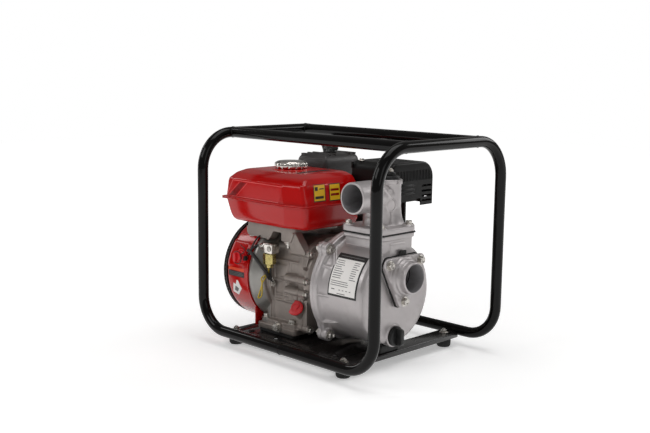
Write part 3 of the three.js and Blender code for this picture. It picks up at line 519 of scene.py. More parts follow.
def hexbolt(p, d, af=13.0, h=5.3, washer=11.0, wh=1.6, dish=True, turn=0.3):
    """Hex head with chamfered corners on a washer, standing on p and pointing along d."""
    m = toward(p, d)
    R = af / math.sqrt(3)
    geos = []
    z0 = 0.0
    if washer:
        geos.append(lathe([(0, 0), (washer - 0.3, 0), (washer, 0.3), (washer, wh - 0.3), (washer - 0.3, wh), (0, wh)], "z", n=28))
        z0 = wh - 0.02
    n = 48
    rings = []

    def ring(z, cap):
        out = []
        for i in range(n):
            w = 2 * math.pi * i / n
            k = (w + turn) % (math.pi / 3) - math.pi / 6
            r = min(R * math.cos(math.pi / 6) / math.cos(k), cap)
            out.append((r * math.cos(w), r * math.sin(w), z))
        return out
    big = R * 1.01
    rings = [ring(z0, af / 2 * 1.03), ring(z0 + 0.5, big), ring(z0 + h - 1.1, big), ring(z0 + h - 0.35, af / 2 * 1.05), ring(z0 + h, af / 2 * 0.93)]
    if dish:
        rings += [ring(z0 + h, af / 2 * 0.72), ring(z0 + h - 0.5, af / 2 * 0.6)]
    geos.append(outward(skin(rings)))
    return [place(g, m) for g in geos]


def merge(geos):
    v, f = [], []
    for g in geos:
        o = len(v)
        v += g[0]
        f += [tuple(i + o for i in q) for q in g[1]]
    return v, f


def raw(geo):
    me = bpy.data.meshes.new("tmp")
    me.from_pydata([(x * 0.001, y * 0.001, z * 0.001) for x, y, z in geo[0]], [], geo[1])
    me.validate()
    return me


def evaluated(o):
    dg = bpy.context.evaluated_depsgraph_get()
    return bpy.data.meshes.new_from_object(o.evaluated_get(dg))


def apply_all(o):
    me = evaluated(o)
    o.modifiers.clear()
    old = o.data
    o.data = me
    if old.users == 0:
        bpy.data.meshes.remove(old)
    return o


def bare(name, geo, mats=()):
    o = bpy.data.objects.new(name, raw(geo))
    bpy.context.scene.collection.objects.link(o)
    for m in mats:
        o.data.materials.append(m)
    return o


def bevel(o, width, seg=2, angle=32, profile=0.5):
    b = o.modifiers.new("bevel", "BEVEL")
    b.width = width * 0.001
    b.segments = seg
    b.limit_method = "ANGLE"
    b.angle_limit = math.radians(angle)
    b.profile = profile
    b.use_clamp_overlap = True
    b.miter_outer = "MITER_ARC"
    return apply_all(o)


def boolean(o, geo, op="DIFFERENCE", mat=None, solver="EXACT"):
    c = bare("cutter", geo, [mat] if mat else [])
    b = o.modifiers.new("bool", "BOOLEAN")
    b.operation = op
    b.object = c
    b.solver = solver
    if mat:
        b.material_mode = "TRANSFER"
    apply_all(o)
    bpy.data.objects.remove(c)
    return o


def remesh(o, voxel, smooth=3, factor=0.5):
    r = o.modifiers.new("remesh", "REMESH")
    r.mode = "VOXEL"
    r.voxel_size = voxel * 0.001
    if smooth:
        s = o.modifiers.new("smooth", "SMOOTH")
        s.factor = factor
        s.iterations = smooth
    return apply_all(o)


def shade(o, angle=35):
    me = o.data
    me.shade_smooth()
    if angle and angle < 180:
        me.set_sharp_from_angle(angle=math.radians(angle))
    return o


def done(o, body="root", cad=(), slot=None, angle=35):
    """Shading, body and hiding the CAD nodes it stands for; the record's slot is looked up but not set on anything."""
    shade(o, angle)
    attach(o, body)
    cad = [cad] if isinstance(cad, str) else list(cad)
    if cad:
        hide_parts(*cad)
    if slot is None and cad:
        slot = SLOT_OF.get(cad[0])
    return o


def piece(name, geos, mat, body="root", cad=(), slot=None, bev=0, seg=2, angle=35, bangle=32):
    geo = merge(geos) if isinstance(geos, list) else geos
    o = bare(name, geo, [mat])
    if bev:
        bevel(o, bev, seg, bangle)
    return done(o, body, cad, slot, angle)


_trees = {}


def tree(o):
    if o.name not in _trees:
        me = o.data
        _trees[o.name] = BVHTree.FromPolygons([v.co.copy() for v in me.vertices], [tuple(p.vertices) for p in me.polygons])
    return _trees[o.name]


def decal(name, target, start, direction, grid, mat, lift=0.25, thick=0.2, body="root", slot=None):
    """Film laid on a target: start(u, v) and direction(u, v) cast rays in mm; grid is the outline sampled as rows."""
    bvh = tree(target)
    nu, nv = grid
    vs, ok = [], True
    inner = []
    for j in range(nv + 1):
        for i in range(nu + 1):
            s = Vector(start(i / nu, j / nv))
            d = Vector(direction(i / nu, j / nv)).normalized()
            hit, nor, _, _ = bvh.ray_cast(s * 0.001, d)
            if hit is None:
                hit, nor, _, _ = bvh.find_nearest(s * 0.001)
            hit = hit * 1000
            if nor.dot(d) > 0:
                nor = -nor
            vs.append(tuple(hit - d * lift))
            inner.append(tuple(hit - d * (lift - thick)))
    f = []
    w = nu + 1
    N = len(vs)
    for j in range(nv):
        for i in range(nu):
            a = j * w + i
            f.append((a, a + 1, a + 1 + w, a + w))
            f.append((a + N, a + w + N, a + 1 + w + N, a + 1 + N))
    edge = [i for i in range(nu + 1)] + [j * w + nu for j in range(1, nv + 1)] + [nv * w + i for i in range(nu - 1, -1, -1)] + [j * w for j in range(nv - 1, 0, -1)]
    for k in range(len(edge)):
        a, b = edge[k], edge[(k + 1) % len(edge)]
        f.append((a, a + N, b + N, b))
    g = (vs + inner, f)
    g = outward(g)
    o = bare(name, g, [mat])
    return done(o, body, slot=slot, angle=60)


def bilinear(c00, c10, c11, c01):
    def at(u, v):
        a = Vector(c00) * (1 - u) + Vector(c10) * u
        b = Vector(c01) * (1 - u) + Vector(c11) * u
        return a * (1 - v) + b * v
    return at


# ================================================================== carrying frame


def hoop(side):
    pts = [(side * 0.4, -HOOP_Y, Z_BOT), (side * 60, -HOOP_Y, Z_BOT), (side * 130, -HOOP_Y, Z_BOT)]
    N = 14
    for i in range(N + 1):
        a = math.radians(-90 + 90 * i / N)
        pts.append((side * (HOOP_X - BEND_BOT + BEND_BOT * math.cos(a)), -HOOP_Y, Z_BOT + BEND_BOT + BEND_BOT * math.sin(a)))
    for k in range(1, 4):
        pts.append((side * HOOP_X, -HOOP_Y, Z_BOT + BEND_BOT + (Z_TOP - BEND_TOP - Z_BOT - BEND_BOT) * k / 4))
    for i in range(N + 1):
        a = math.radians(180 - 90 * i / N)
        pts.append((side * HOOP_X, -HOOP_Y + BEND_TOP + BEND_TOP * math.cos(a), Z_TOP - BEND_TOP + BEND_TOP * math.sin(a)))
    half = [p for p in pts]
    return half + [(x, -y, z) for x, y, z in reversed(half)]


for side, nm in ((1, "pump"), (-1, "engine")):
    piece("tube_hoop_" + nm + "_end", tube(hoop(side), TUBE_R, 36), M["frame"], cad="frame_hoop_" + nm + "_end", angle=50)
for s, nm in ((-1, "near"), (1, "far")):
    piece("tube_top_rail_" + nm, rod("x", TUBE_R, -HOOP_X + 3, HOOP_X - 3, (s * RAIL_Y, Z_TOP), 36), M["frame"], cad="top_rail_" + nm, angle=50)

random.seed(7)


def bead(path, r, closed=True):
    """Weld bead: a rippled roll along a line."""
    rad = [r * (1 + 0.10 * math.sin(i * 1.9) + 0.08 * (random.random() - 0.5)) for i in range(len(path))]
    return tube(path, r, 10, closed=closed, radii=rad)


welds = []
for sx in (-1, 1):
    for sy in (-1, 1):
        path = []
        for k in range(64):
            w = 2 * math.pi * k / 64
            path.append((sx * (HOOP_X - (TUBE_R + 0.3) * abs(math.cos(w)) - 0.6), sy * RAIL_Y + (TUBE_R - 0.2) * math.cos(w), Z_TOP + (TUBE_R - 0.2) * math.sin(w)))
        welds.append(bead(path, 1.25))
for sy in (-1, 1):   # butt welds of the two hoops
    path = [(0, sy * HOOP_Y + (TUBE_R - 0.3) * math.cos(2 * math.pi * k / 48), Z_BOT + (TUBE_R - 0.3) * math.sin(2 * math.pi * k / 48)) for k in range(48)]
    welds.append(bead(path, 1.2))
for nm, x0, x1 in (("pump", *[mm("base_channel_pump")[k].x for k in (0, 1)]), ("engine", *[mm("base_channel_engine")[k].x for k in (0, 1)])):
    for sy in (-1, 1):
        n = int((x1 - x0 - 6) / 1.6)
        welds.append(bead([(x0 + 3 + i * 1.6, sy * 168.6, 28.0) for i in range(n)], 1.5, closed=False))
piece("frame_weld_beads", welds, M["frame"], angle=60)

# ------------------------------------------------------------------ base sheet metal and rubber feet
for nm in ("pump", "engine"):
    lo, hi = mm("base_channel_" + nm)
    x0, x1, y1 = lo.x, hi.x, hi.y
    t = 2.0
    prof = fillet([(x0, 18, 0.6), (x0 + t, 18, 0.6), (x0 + t, 26, 0.8), (x1 - t, 26, 0.8), (x1 - t, 18, 0.6), (x1, 18, 0.6), (x1, 28, 2.2), (x0, 28, 2.2)], 4)
    piece("base_crossmember_" + nm, prism(prof, "y", -y1, y1), M["plate"], cad="base_channel_" + nm, bev=0.5, bangle=50)
lo, hi = mm("base_plate")
PX0, PX1, PY0, PY1 = lo.x, hi.x, lo.y, hi.y
pan = fillet([(PX0, PY0, 1), (PX1, PY0, 1), (PX1, 50, 8), (40, 50, 22), (10, PY1, 8), (PX0, PY1, 1)], 5)
sheet_o = bare("base_pan", merge([prism(pan, "z", 26, 28)]), [M["plate"]])
lips = merge([box(PX0, PY0, 17, PX1, PY0 + 2, 26.6), box(PX0, PY1 - 2, 17, 10, PY1, 26.6)])
boolean(sheet_o, lips, "UNION")
for x, y, r in ((-66, -132.5, 5),):
    boolean(sheet_o, rod("z", r, 20, 32, (x, y), 28))
bevel(sheet_o, 0.5, 2, 40)
done(sheet_o, "root", ["base_plate"], angle=35)

foot_prof = fillet([(0, 0), (12.2, 0, 1.2), (14.2, 3.4, 2), (14.6, 12, 3), (13.6, 17.6, 1), (11.5, 17.6, 0.8), (11.5, 25.7, 0.6), (0, 25.7)], 4, closed=False)
for nm in ("foot_pump_near", "foot_pump_far", "foot_engine_near", "foot_engine_far"):
    lo, hi = mm(nm)
    piece("rubber_" + nm, lathe(foot_prof, "z", ((lo.x + hi.x) / 2, (lo.y + hi.y) / 2), 40), M["rubber"], cad=nm)
lo, hi = mm("pump_support_pad")
piece("pump_rest_block", prism([(lo.y, lo.z), (hi.y, lo.z), (hi.y - 4, hi.z), (lo.y + 4, hi.z)], "x", lo.x, hi.x), M["rubber"], cad="pump_support_pad", bev=2.2, seg=3)
for nm in ("engine_mount_near", "engine_mount_far"):
    lo, hi = mm(nm)
    piece("rubber_" + nm, prism(rect(lo.x, lo.y, hi.x, hi.y, 5), "z", lo.z, hi.z), M["rubber"], cad=nm, bev=1.2, seg=3)

# ================================================================== engine castings
CYL_X, CYL_TILT, DECK = -70.0, math.radians(25), 125.0
CYL = axes((1, 0, 0), (0, math.sin(CYL_TILT), -math.cos(CYL_TILT)), (0, math.cos(CYL_TILT), math.sin(CYL_TILT)), (CYL_X, CY, CZ))
BOSSES = [(-98, 201), (-110, 149), (-111, 124), (-99, 50), (56, 60), (58, 140), (14, 222)]
lo, hi = mm("oil_filler_plug")
FILL_DIR = Vector((0, -0.77, 0.638)).normalized()
FILL_P = Vector(((lo.x + hi.x) / 2, -107, 90))
ENG_BOLTS = [(-125, -104), (-49.5, -104), (-125, 58), (-49.5, 58)]

outer = fillet([(-104, 44, 0), (60, 44, 0), (60, 150, 20), (18, 226, 22), (-46, 228, 18), (-92, 212, 16), (-104, 178, 16)], 6)
slim = fillet([(-101, 44, 0), (57, 44, 0), (57, 149, 20), (17, 223, 22), (-45, 225, 18), (-90, 210, 16), (-101, 177, 16)], 6)
parts = [
    prism(rect(-139.4, -117, -30, 72, 6), "z", 35, 47),
    prism(rect(-134, -112, -34, 66, 6), "z", 44, 56),
    prism(slim, "x", -124, -22),
    prism(outer, "x", -34, -22),
    prism(outer, "x", -124, -112),
    lathe([(0, -139.4), (103, -139.4), (103, -132), (101.5, -129.5), (93, -119), (86, -111), (0, -111)], "x", (CY, CZ), 96),
    rod("x", 78, -139, -104, (CY, CZ), 64),
    rodpp(FILL_P - FILL_DIR * 20, FILL_P + FILL_DIR * 4, 14, 28, 12.5),
    rod("y", 10, -119, -98, (-77, 46), 24, ch=0.6),
    rod("z", 5, 205, 263.7, (-92, 44), 16),
    # panel ribs and pads cast on the near wall
    box(-112, -103.6, 178, -34, -100, 181), box(-112, -103.6, 136, -34, -100, 139.5), box(-112, -103.6, 96, -34, -100, 99.5),
    box(-78, -103.8, 96, -74.5, -100, 139), box(-60, -103.8, 139, -56.5, -100, 181), box(-104, -103.8, 60, -100.5, -100, 98),
    box(-98, -103.8, 107, -64, -100, 111),
    prism(fillet([(-100, 146, 4), (-66, 146, 4), (-66, 170, 4), (-100, 170, 4)], 4), "y", -103.2, -99),
    prism(fillet([(-52, 104, 4), (-38, 104, 4), (-38, 130, 4), (-52, 130, 4)], 4), "y", -103.8, -99),
    # far side and top pads
    box(-112, 55, 90, -40, 59.5, 94), box(-112, 55, 120, -40, 59.5, 124),
    rod("y", 15, 50, 62, (-60, 80), 32, ch=0.8),
]
for y, z in BOSSES:
    parts.append(rod("x", 7.2, -62, -22, (y, z), 28))
    parts.append(prism(fillet([(-66, z - 7, 3), (-36, z - 9, 3), (-36, z + 9, 3), (-66, z + 7, 3)], 3), "y", min(y, y * 0.9), max(y, y * 0.9)) if abs(y) > 90 else rod("x", 5, -66, -60, (y, z), 20))
parts.append(box(-60, -111, 119, -22, -100, 129))
parts.append(box(-60, -110, 144, -22, -100, 154))
o = bare("engine_crankcase", merge(parts), [M["engine"], M["bell"]])
remesh(o, 1.35, 4)
boolean(o, merge([rod("x", 93, -141, -125, (CY, CZ), 72)]), mat=M["engine"])
for x, y in ENG_BOLTS:
    boolean(o, rod("z", 4.3, 30, 60, (x, y), 20))
for p in o.data.polygons:   # the bell gets a smoother copy of the casting, painted brighter as a painted highlight of light from the left
    c = p.center
    if c.x < -0.1135:
        r = math.hypot(c.y * 1000 - CY, c.z * 1000 - CZ)
        if c.z > 0.0475 and r > 70:
            p.material_index = 1
done(o, "root", ["crankcase"], angle=50)
CRANKCASE = o

cover_pts = fillet([(-104, 50, 8), (58, 50, 8), (62, 140, 20), (20, 226, 20), (-46, 228, 18), (-92, 212, 16), (-106, 178, 16)], 6)
parts = [prism(cover_pts, "x", -21.7, -9),
         lathe([(0, -12), (74, -12), (72, -4), (62, 7), (60, 11.8), (0, 11.8)], "x", (CY, CZ), 72),
         box(-21.7, -111, 119, -9, -100, 129), box(-21.7, -110, 144, -9, -100, 154)]
for y, z in BOSSES:
    parts.append(rod("x", 7.4, -21.7, -5.2, (y, z), 28))
for k in range(8):
    w = math.radians(22 + 45 * k)
    parts.append(rodpp((-9, CY + 60 * math.cos(w), CZ + 60 * math.sin(w)), (-9, CY + 86 * math.cos(w), CZ + 86 * math.sin(w)), 3.2, 10))
o = bare("engine_side_cover", merge(parts), [M["engine"]])
remesh(o, 1.3, 3)
boolean(o, rod("x", 13.4, -30, 14, (CY, CZ), 32))
done(o, "root", ["crankcase_cover"], angle=50)

# cylinder fins, head and rocker cover in the frame of the inclined cylinder
fins = []
for k in range(8):
    d = 71 + 6.3 * k
    fins.append(prism(rect(-46.5, -49, 46.5, 49, 9), "z", d, d + 2.0, CYL))
fins.append(prism(rect(-46.5, -47.5, 46.5, 47.5, 8), "z", 121.5, 125, CYL))
fins.append(place(lathe([(0, 60), (41.5, 60), (41.5, 124), (0, 124)], "z", n=56), CYL))
piece("cylinder_barrel_fins", fins, M["engine"], bev=0.6, slot=SLOT_OF["crankcase"])
parts = [prism(rect(-46.5, -47.5, 46.5, 47.5, 8), "z", 125.3, 131, CYL), prism(rect(-38, -38, 40, 38, 8), "z", 126, 152.8, CYL)]
for d in (135, 140.6, 146.2, 150.6):
    parts.append(prism(rect(-48.5, -47.5, 48.5, 47.5, 9), "z", d, d + 2.1, CYL))
parts.append(prism(rect(-29, -61, 29, -36, 8), "z", 131, 149, CYL))
piece("cylinder_head_casting", parts, M["engine"], cad="cylinder_head", bev=0.6)
parts = [prism(rect(-37.6, -43.6, 33.6, 43.6, 12), "z", 153.3, 157, CYL), prism(rect(-34.5, -40.5, 30.5, 40.5, 11), "z", 156, 179.3, CYL),
         prism(rect(-30, -36, 26, 36, 9), "z", 178, 183.8, CYL)]
piece("rocker_cover_pressing", parts, M["shield"], cad="rocker_cover", bev=2.0, seg=3)
PL = Vector((44, 22, 0))
parts = [place(lathe([(0, 133.5), (5, 133.5), (5, 153.2), (0, 153.2)], "z", (44, 22), 24), CYL)]
parts.append(place(lathe([(0, 161), (5, 161), (5, 163), (4.3, 163.5), (4.3, 165), (4.8, 165.5), (4.3, 166), (4.3, 167.5), (4.8, 168), (4.2, 168.5), (4.2, 170), (3, 171), (3, 176), (0, 176)], "z", (44, 22), 28), CYL))
piece("spark_plug_insulator", parts, M["lab_white"], bev=0)
hx = hexbolt((0, 0, 0), (0, 0, 1), af=15.4, h=7.6, washer=0, dish=False)[0]
parts = [place(hx, CYL @ Matrix.Translation((44, 22, 153.4))), place(lathe([(0, 153.1), (8.6, 153.1), (8.6, 153.6), (0, 153.6)], "z", (44, 22), 28), CYL)]
piece("spark_plug_body", parts, M["zinc"], cad="spark_plug")

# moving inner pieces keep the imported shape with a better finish
for nm, mt in (("piston", "machined"), ("crankshaft", "steel"), ("starter_cup", "steel"), ("flywheel", "engine"), ("recoil_reel", "black"), ("mechanical_seal", "steel"),
               ("volute", "pump"), ("impeller", "engine"), ("air_filter_element", "foam"), ("check_valve_flap", "rubber"), ("carburettor", "bell"), ("choke_lever", "black"),
               ("throttle_lever", "zinc"), ("fuel_valve_lever", "black"), ("muffler", "shield"), ("muffler_stay", "shield"), ("air_cleaner_base", "airbox")):
    me = NODES[nm].data
    me.materials.clear()
    me.materials.append(M[mt])

# ================================================================== fuel tank


def cyl(x, deg, r):
    """Point at an angle round the crankshaft axis, measured from -Y towards +Z."""
    w = math.radians(deg)
    return (x, CY - r * math.cos(w), CZ + r * math.sin(w))


def patch(outer, inner, nu, nv):
    """Closed slab between two surfaces given as functions of (u, v)."""
    vs = [tuple(outer(i / nu, j / nv)) for j in range(nv + 1) for i in range(nu + 1)]
    N = len(vs)
    vs += [tuple(inner(i / nu, j / nv)) for j in range(nv + 1) for i in range(nu + 1)]
    f, w = [], nu + 1
    for j in range(nv):
        for i in range(nu):
            a = j * w + i
            f.append((a, a + 1, a + 1 + w, a + w))
            f.append((a + N, a + w + N, a + 1 + w + N, a + 1 + N))
    edge = [i for i in range(nu + 1)] + [j * w + nu for j in range(1, nv + 1)] + [nv * w + i for i in range(nu - 1, -1, -1)] + [j * w for j in range(nv - 1, 0, -1)]
    for k in range(len(edge)):
        a, b = edge[k], edge[(k + 1) % len(edge)]
        f.append((a, a + N, b + N, b))
    return outward((vs, f))


def cyl_film(x0, x1, t0, t1, r, thick=0.25, skew=0.0):
    """Film wrapped on a cylinder round the crankshaft axis."""
    n = max(2, int(abs(t1 - t0) / 2.5))
    return patch(lambda u, v: cyl(x0 + (x1 - x0) * u + skew * v, t0 + (t1 - t0) * v, r),
                 lambda u, v: cyl(x0 + (x1 - x0) * u + skew * v, t0 + (t1 - t0) * v, r - thick), 2, n)


def plan(x0, y0, x1, y1, r):
    return fillet([(x0, y0, r * 0.4), (x1 - 50, y0, 16), (x1, y0 + 10, r * 0.7), (x1, y1, r * 0.6), (x0, y1, r)], 7)


def knuckled(keys, sub=6):
    """Rings (x0, y0, x1, y1, r, z, softness) run together with rounded knuckles."""
    out = [keys[0][:6]]
    for a, b, c in zip(keys, keys[1:], keys[2:]):
        s = b[6] if len(b) > 6 else 0.25
        p = [b[i] + (a[i] - b[i]) * s for i in range(6)]
        q = [b[i] + (c[i] - b[i]) * s for i in range(6)]
        for k in range(sub + 1):
            t = k / sub
            out.append([p[i] * (1 - t) ** 2 + 2 * b[i] * t * (1 - t) + q[i] * t * t for i in range(6)])
    out.append(keys[-1][:6])
    return out


def plan_loft(keys):
    return outward(skin([[(x, y, k[5]) for x, y in plan(*k[:5])] for k in knuckled(keys)]))


low = plan_loft([(-176, -104, -28, 0, 12, 247.9), (-199, -123, -4, 21, 16, 248.0, 0.35), (-207, -131, 4, 29, 19, 257, 0.45), (-218.5, -135, 6, 31, 20, 293.5, 0.1), (-219, -135, 6, 31, 20, 294.8)])
o = piece("tank_lower_shell", [low], M["red"], cad="fuel_tank_lower", angle=50)
flange = [prism(plan(-228.5, -139.5, 10.6, 33.9, 20), "z", 292.5, 294.85)]
piece("tank_seam_lower", flange, M["red"], bev=0.9, seg=3, slot=SLOT_OF["fuel_tank_lower"], angle=50)
up = plan_loft([(-219, -135, 6, 32, 20, 295.2), (-219, -135, 6, 32, 20, 297.5, 0.3), (-214.5, -132.5, -5, 32, 18, 334, 0.16), (-210, -114, -16, 31.5, 14, 345.5, 0.22), (-200, -93, -36, 30, 14, 352.3, 0.3), (-176, -70, -62, 8, 12, 353.3)])
neck = lathe([(0, 349), (43, 350.6), (41, 352.9), (38.5, 354.0), (36, 354.4), (26, 354.5), (24.2, 355.2), (24, 358), (0, 358)], "z", (CAP_X, CAP_Y), 72)
TANK_TOP = piece("tank_upper_shell", [up, neck], M["red"], cad="fuel_tank_upper", angle=50)
piece("tank_seam_upper", [prism(plan(-228.5, -139.5, 10.6, 33.9, 20), "z", 295.15, 297.5)], M["red"], bev=0.9, seg=3, slot=SLOT_OF["fuel_tank_upper"], angle=50)


def scallop(w, r, h):
    if r < 31 or h < 356.5 or h > 367.4:
        return r
    return r - 1.5 * (0.5 + 0.5 * math.cos(14 * w)) ** 3


cap_prof = [(0, 358.6), (25.2, 358.6), (25.2, 355.8), (31, 355.7), (32.6, 356.2), (33.9, 358), (34, 360), (34, 364.3), (33.3, 366.2), (31.8, 367.2), (29.8, 367.5), (29, 368.6), (27, 369.3), (20, 369.8), (10, 370), (0, 370)]
piece("fuel_cap_chrome", lathe(cap_prof, "z", (CAP_X, CAP_Y), 168, mod=scallop), M["chrome"], body=BODY_OF["fuel_cap"], cad="fuel_cap", angle=45)

# tank bracket casting with its two lugs
parts = [prism(rect(-178, -112, -40, 16, 8), "z", 236, 247.3),
         prism(fillet([(-178, 226, 3), (-174, 220, 2), (-157, 219.5, 3), (-114, 216.5, 3), (-106, 224, 4), (-98, 238, 0), (-178, 238, 0)], 4), "y", -112, -90),
         prism(fillet([(-75.5, 219.5, 2), (-49, 219.5, 3), (-44, 228, 4), (-40, 238, 0), (-75.5, 238, 0)], 4), "y", -112, -88),
         prism(fillet([(-62, 219.5, 1), (-52, 204, 2), (-12, 198, 3), (-11, 204, 3), (-26, 222, 8), (-40, 240, 0), (-62, 240, 0)], 4), "y", -108, -90),
         prism(rect(-110, -40, -46, 2, 6), "z", 228.6, 238)]
o = bare("tank_bracket_casting", merge(parts), [M["engine"]])
remesh(o, 1.2, 3)
boolean(o, rod("x", 106.4, -190, -117.5, (CY, CZ), 96))
done(o, "root", ["tank_bracket"], angle=50)

# ================================================================== fan shroud and recoil starter
prof = [(104.5, -140.0), (104.5, -196), (103.8, -200.6), (101.9, -204.2), (98.8, -206.8), (94.5, -208.0), (72, -208.0), (72, -206.2), (93.5, -206.2), (97.4, -204.8), (100.3, -201.8), (102, -196), (102.2, -140.0), (104.5, -140.0)]
parts = [lathe(prof, "x", (CY, CZ), 144)]
parts.append(lathe([(105.6, -139.9), (105.6, -141.6), (104.9, -142.6), (103, -142.6), (103, -139.9), (105.6, -139.9)], "x", (CY, CZ), 144))


def pad_r(u, v, base, rise):
    e = min(u, 1 - u) * 50
    g = min(v, 1 - v) * 34
    k = min(1.0, min(e / 5.0, g / 3.2))
    return base + rise * (k * k * (3 - 2 * k))


parts.append(patch(lambda u, v: cyl(-203 + 53 * u, 7.5 + 31 * v, pad_r(u, v, 104.2, 2.4)), lambda u, v: cyl(-203 + 53 * u, 7.5 + 31 * v, 102.6), 22, 22))
parts.append(prism(fillet([(-119.5, 38.5, 3), (-97, 38.5, 3), (-97, 92, 2), (-104, 99, 2), (-119.5, 99, 3)], 3), "x", -143.2, -140.0))
SHROUD = piece("fan_shroud_pressing", parts, M["red"], cad="fan_shroud", angle=42)

dish = lathe([(97.2, -208.4), (97.2, -215.6), (96.2, -217.6), (93, -219.2), (76, -221.2), (52, -221.4), (49, -219.9), (30, -219.9), (27.5, -221.8), (0, -221.95),
              (0, -219.6), (26, -219.4), (29, -217.6), (50, -217.6), (53, -219.2), (75, -219.0), (91, -217.0), (95, -215), (95, -208.4), (97.2, -208.4)], "x", (CY, CZ), 144)
o = bare("recoil_cover", dish, [M["black"]])
cuts = []
for ring_r0, ring_r1, count, half in ((57, 72, 30, 2.4), (77.5, 91, 42, 2.3)):
    for k in range(count):
        a = 360 * (k + 0.5) / count
        if ring_r0 > 70 and min((a - 20) % 120, (20 - a) % 120) < 7:
            continue
        w = math.radians(a)
        m = axes((0, math.cos(w), math.sin(w)), (0, -math.sin(w), math.cos(w)), (1, 0, 0), (0, CY, CZ))
        cuts.append(prism(rect(ring_r0, -half, ring_r1, half, half * 0.95, 3), "z", -226, -212, m))
boolean(o, merge(cuts))
bevel(o, 0.4, 1, 45)
rim = [lathe([(103.4, -208.4), (103.4, -210.6), (96, -210.6), (96, -208.4), (103.4, -208.4)], "x", (CY, CZ), 144),
       lathe([(102.8, -216.3), (102.2, -217.8), (99, -219.2), (95, -219.4), (95, -216.3), (102.8, -216.3)], "x", (CY, CZ), 144),
       rod("x", 6, -221, -201, (CY, CZ), 32)]
for k in range(84):
    w = 2 * math.pi * k / 84
    m = Matrix.Translation((0, CY, CZ)) @ Matrix.Rotation(w, 4, "X") @ Matrix.Translation((-213.4, 0, 99.6)) @ Matrix.Rotation(math.radians(32), 4, "Z")
    rim.append(box(-3.9, -0.9, -4.0, 3.9, 0.9, 3.5, m))
for k in range(3):   # three fixing lugs
    w = math.radians(20 + 120 * k)
    rim.append(rod("x", 8, -220.3, -208.5, (CY + 86 * math.cos(w), CZ + 86 * math.sin(w)), 28, ch=0.8))
o2 = bare("recoil_rim", merge(rim), [M["airbox"]])
bevel(o2, 0.35, 1, 40)
done(o2, "root", [], SLOT_OF["recoil_housing"], 40)
rope_z = CZ + 31
boolean(o, rod("y", 3.6, 20, 110, (-212, rope_z), 24))
done(o, "root", ["recoil_housing"], angle=40)
# a dark disc behind the slots: painted shade standing in for the shaded inside of the starter
piece("recoil_painted_shade_disc", lathe([(95, -212.2), (95, -213.0), (40, -214.4), (40, -213.6), (95, -212.2)], "x", (CY, CZ), 96), M["dark"], slot=SLOT_OF["recoil_housing"])
piece("rope_outlet_bush", lathe([(3.4, 62.2), (3.4, 66.5), (5.6, 66.5), (6.6, 65.2), (6.6, 60), (3.4, 60), (3.4, 62.2)], "y", (-212, rope_z), 28), M["zinc"], slot=SLOT_OF["recoil_housing"])

glo, ghi = mm("starter_grip")
gx0, gx1 = glo.x, ghi.x
rings = []
N = 30
for j in range(N + 1):
    t = -1 + 2 * j / N
    z = rope_z + 34 * t
    end = max(0.0, 1 - max(0.0, (abs(t) - 0.84) / 0.16) ** 2) ** 0.5
    hx, hy = 7.9 * (0.30 + 0.70 * end), (8.2 - 1.6 * abs(t)) * (0.30 + 0.70 * end)
    yc = 75.6 - 1.2 * t * t
    rr = 1 - 0.05 * (1 if (j % 3 == 0 and abs(t) < 0.8) else 0)
    rings.append([((gx0 + gx1) / 2 + hx * rr * math.copysign(abs(math.cos(w)) ** 0.7, math.cos(w)), yc + hy * rr * math.copysign(abs(math.sin(w)) ** 0.7, math.sin(w)), z) for w in [2 * math.pi * i / 28 for i in range(28)]])
piece("starter_grip_moulding", [outward(skin(rings)), lathe([(0, 66.6), (5.4, 66.6), (6.6, 69), (6.4, 73), (0, 73)], "y", (-212, rope_z), 28)], M["black"], body=BODY_OF["starter_grip"], cad="starter_grip", angle=50)
rope_pts = [(-212, 40 + i * 0.9, rope_z) for i in range(34)]
rope = bare("starter_rope", tube(rope_pts, 1.9, 12, radii=[1.9 + 0.14 * (i % 2) for i in range(34)]), [M["lab_white"]])
shade(rope, 50)

# ================================================================== air cleaner


def ac(o):
    return fillet([(-197 + o, 40 + o, max(10 - o, 3)), (-105 - o, 40 + o, max(10 - o, 3)), (-105 - o, 165 - o, max(34 - o, 6)), (-197 + o, 165 - o, max(34 - o, 6))], 8)


heights = [(2.6, 318.8), (0.4, 319.2), (0.0, 320.2), (0.0, 323.4), (0.5, 324.4), (1.7, 325.0), (1.9, 326), (2.0, 352), (2.4, 358), (3.2, 363), (4.4, 366.6), (6.4, 370), (9.2, 372.8), (13, 375), (18, 376.5), (24, 377.2), (33, 377.8)]
parts = [outward(skin([[(x, y, z) for x, y in ac(o)] for o, z in heights]))]
parts.append(lathe([(0, 374), (21, 375.2), (17.5, 377.6), (14.5, 378.2), (0, 378.2)], "z", (ACK_X, ACK_Y), 48))
parts.append(prism(rect(-190, 50, -176, 60, 3), "z", 371, 376.6))
for y in (64, 80, 124, 140):
    parts.append(prism(rect(-186, y, -116, y + 5, 2.4), "z", 374.5, 378.3))
boxed = bare("air_cleaner_shell", merge(parts), [M["airbox"]])
bevel(boxed, 0.5, 2, 50)
done(boxed, "root", ["air_cleaner_cover"], angle=40)
parts = [lathe([(4.3, 378.5), (12, 378.5), (12.4, 380), (10.4, 385.5), (8.6, 388.2), (0, 388.6), (0, 384.6), (4.3, 384.4), (4.3, 378.5)], "z", (ACK_X, ACK_Y), 48),
         prism(fillet([(ACK_X - 19, 384.5, 2.5), (ACK_X - 8, 382, 2), (ACK_X + 8, 382, 2), (ACK_X + 19, 384.5, 2.5), (ACK_X + 18, 394.6, 4), (ACK_X + 6, 390.5, 4), (ACK_X - 6, 390.5, 4), (ACK_X - 18, 394.6, 4)], 4), "y", ACK_Y - 3.4, ACK_Y + 3.4)]
piece("air_cleaner_wing_knob", [parts[1]], M["black"], body=BODY_OF["air_cleaner_knob"], bev=0.9, seg=2, slot=SLOT_OF["air_cleaner_knob"])
